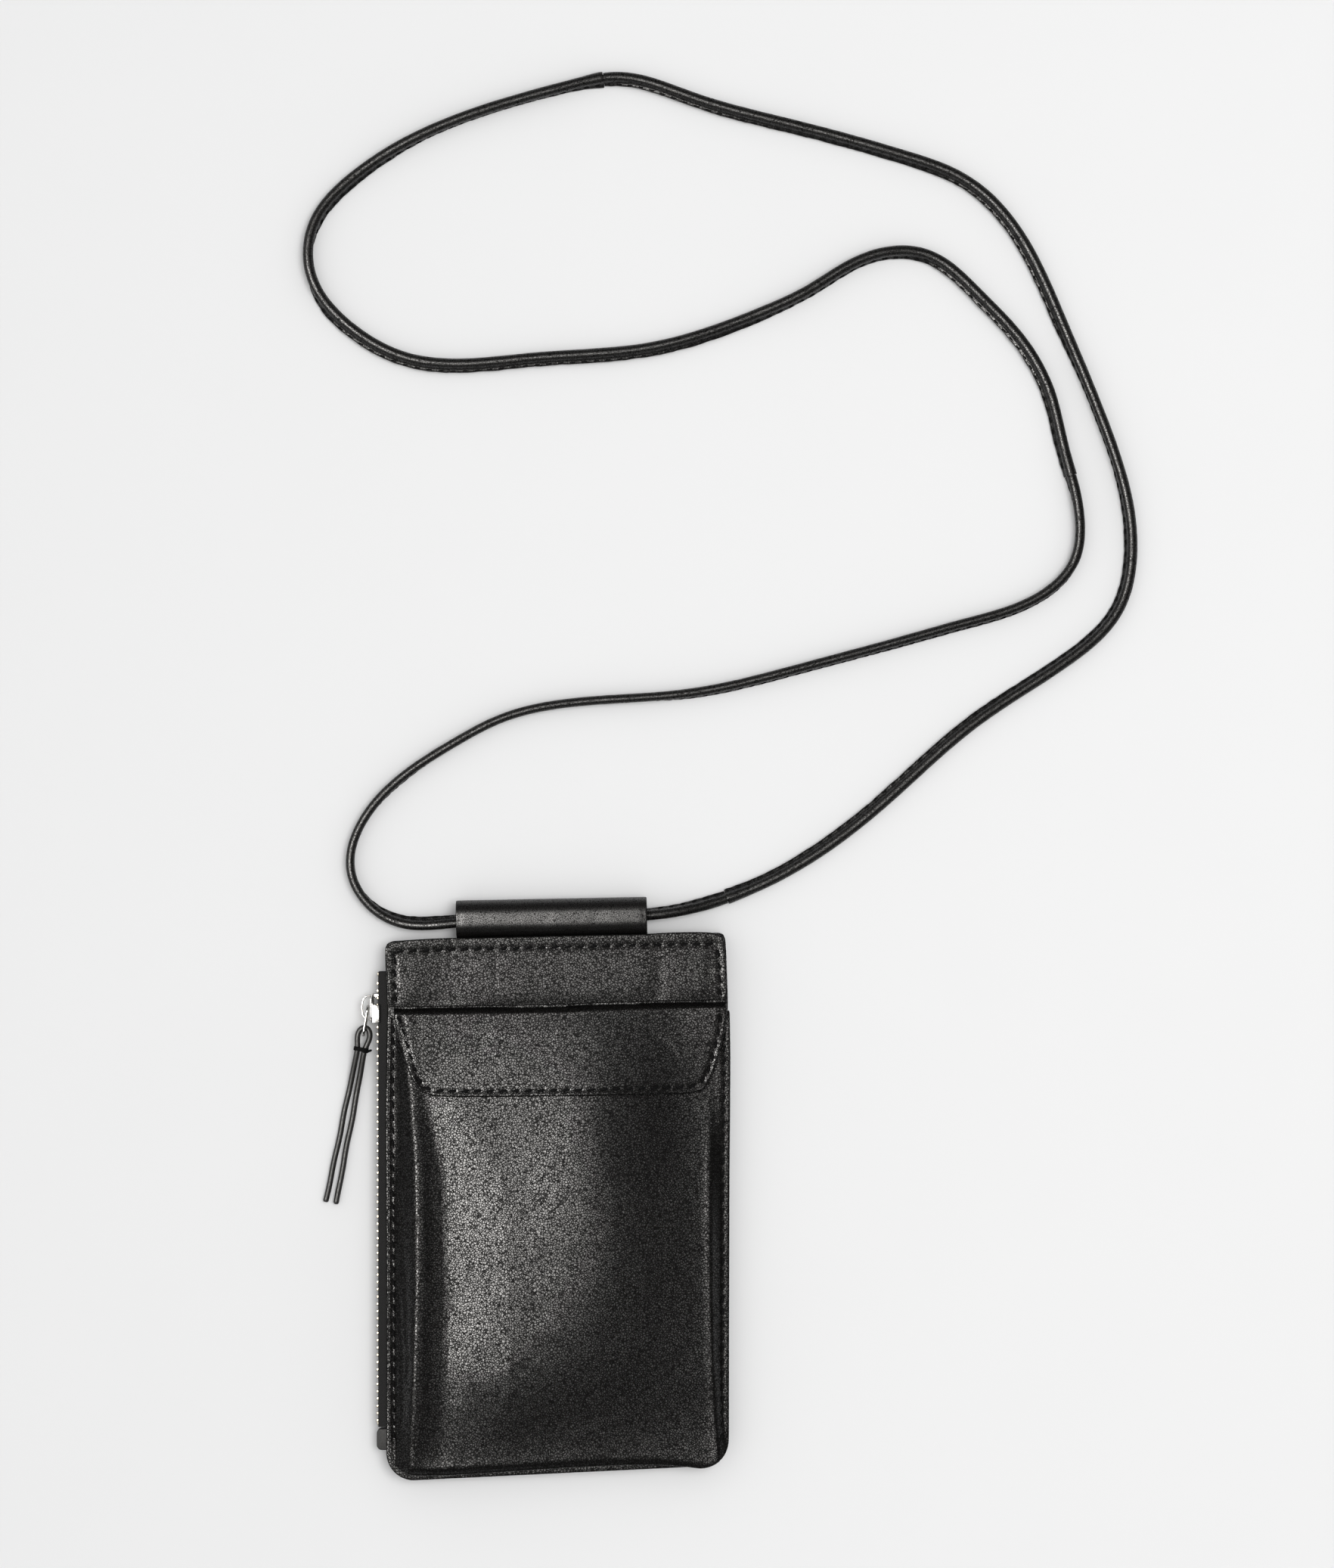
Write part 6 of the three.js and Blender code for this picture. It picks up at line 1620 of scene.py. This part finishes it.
# ------------------------------------------------------------------ floor, light, camera
def stage_mesh():
    me = bpy.data.meshes.new("floor")
    s = 30.0
    me.from_pydata([(-s, -s, 0), (s, -s, 0), (s, s, 0), (-s, s, 0)], [], [(0, 1, 2, 3)])
    ob = bpy.data.objects.new("floor", me)
    bpy.context.scene.collection.objects.link(ob)
    n = Net("floor_paper")
    f = n.noise(0.02, 2)
    me.materials.append(n.done(n.mix(f, (0.80, 0.80, 0.80), (0.81, 0.81, 0.81)), 0.9, spec=0.1))
    return ob


stage_mesh()


def area(name, loc, target, size, power, color=(1, 1, 1), spec=True, shape="RECTANGLE", spread=180):
    L = bpy.data.lights.new(name, "AREA")
    L.shape = shape
    L.size, L.size_y = size
    L.energy = power
    L.color = color
    L.spread = math.radians(spread)
    ob = bpy.data.objects.new(name, L)
    ob.location = loc
    ob.rotation_euler = (Vector(target) - Vector(loc)).to_track_quat("-Z", "Y").to_euler()
    bpy.context.scene.collection.objects.link(ob)
    if not spec:
        ob.visible_glossy = False
    return ob


top = area("softbox_top", (-0.83, 0.07, 1.9), (-0.50, 0.05, 0), (1.00, 0.84), 67.0, (1.0, 0.975, 0.94))
top.visible_diffuse = False
edge = area("softbox_edge", (-0.13, 0.07, 1.9), (-0.10, 0.05, 0), (0.40, 0.84), 6.5, (1.0, 0.975, 0.94))
edge.visible_diffuse = False
area("key_diffuse", (0.55, 0.25, 1.8), (0.0, 0.0, 0), (1.0, 1.0), 16.0, spec=False)

world = bpy.data.worlds.new("studio")
bpy.context.scene.world = world
world.use_nodes = True
wt = world.node_tree
bg = wt.nodes["Background"]
bg.inputs[0].default_value = (1.0, 1.0, 1.0, 1)
lp = wt.nodes.new("ShaderNodeLightPath")
mr = wt.nodes.new("ShaderNodeMapRange")
wt.links.new(lp.outputs["Is Glossy Ray"], mr.inputs["Value"])
mr.inputs["To Min"].default_value = 0.70
# reflections see a dark studio with a paler band near the horizon
tcw = wt.nodes.new("ShaderNodeTexCoord")
sep = wt.nodes.new("ShaderNodeSeparateXYZ")
hz = wt.nodes.new("ShaderNodeMapRange")
hz.interpolation_type = "SMOOTHSTEP"
wt.links.new(tcw.outputs["Generated"], sep.inputs[0])
wt.links.new(sep.outputs[2], hz.inputs["Value"])
hz.inputs["From Min"].default_value = 0.0
hz.inputs["From Max"].default_value = 0.55
hz.inputs["To Min"].default_value = 0.20
hz.inputs["To Max"].default_value = 0.028
wt.links.new(hz.outputs["Result"], mr.inputs["To Max"])
wt.links.new(mr.outputs["Result"], bg.inputs[1])

view = bpy.context.scene.view_settings
view.view_transform = "Standard"
view.look = "None"

cam = bpy.data.cameras.new("camera")
cam.sensor_fit = "AUTO"
cam.sensor_width = 36.0
cam.lens = 100.0
cam.clip_end = 20.0
cob = bpy.data.objects.new("camera", cam)
cob.location = (CAM[0] * MM, CAM[1] * MM, CAM[2] * MM)
bpy.context.scene.collection.objects.link(cob)
bpy.context.scene.camera = cob
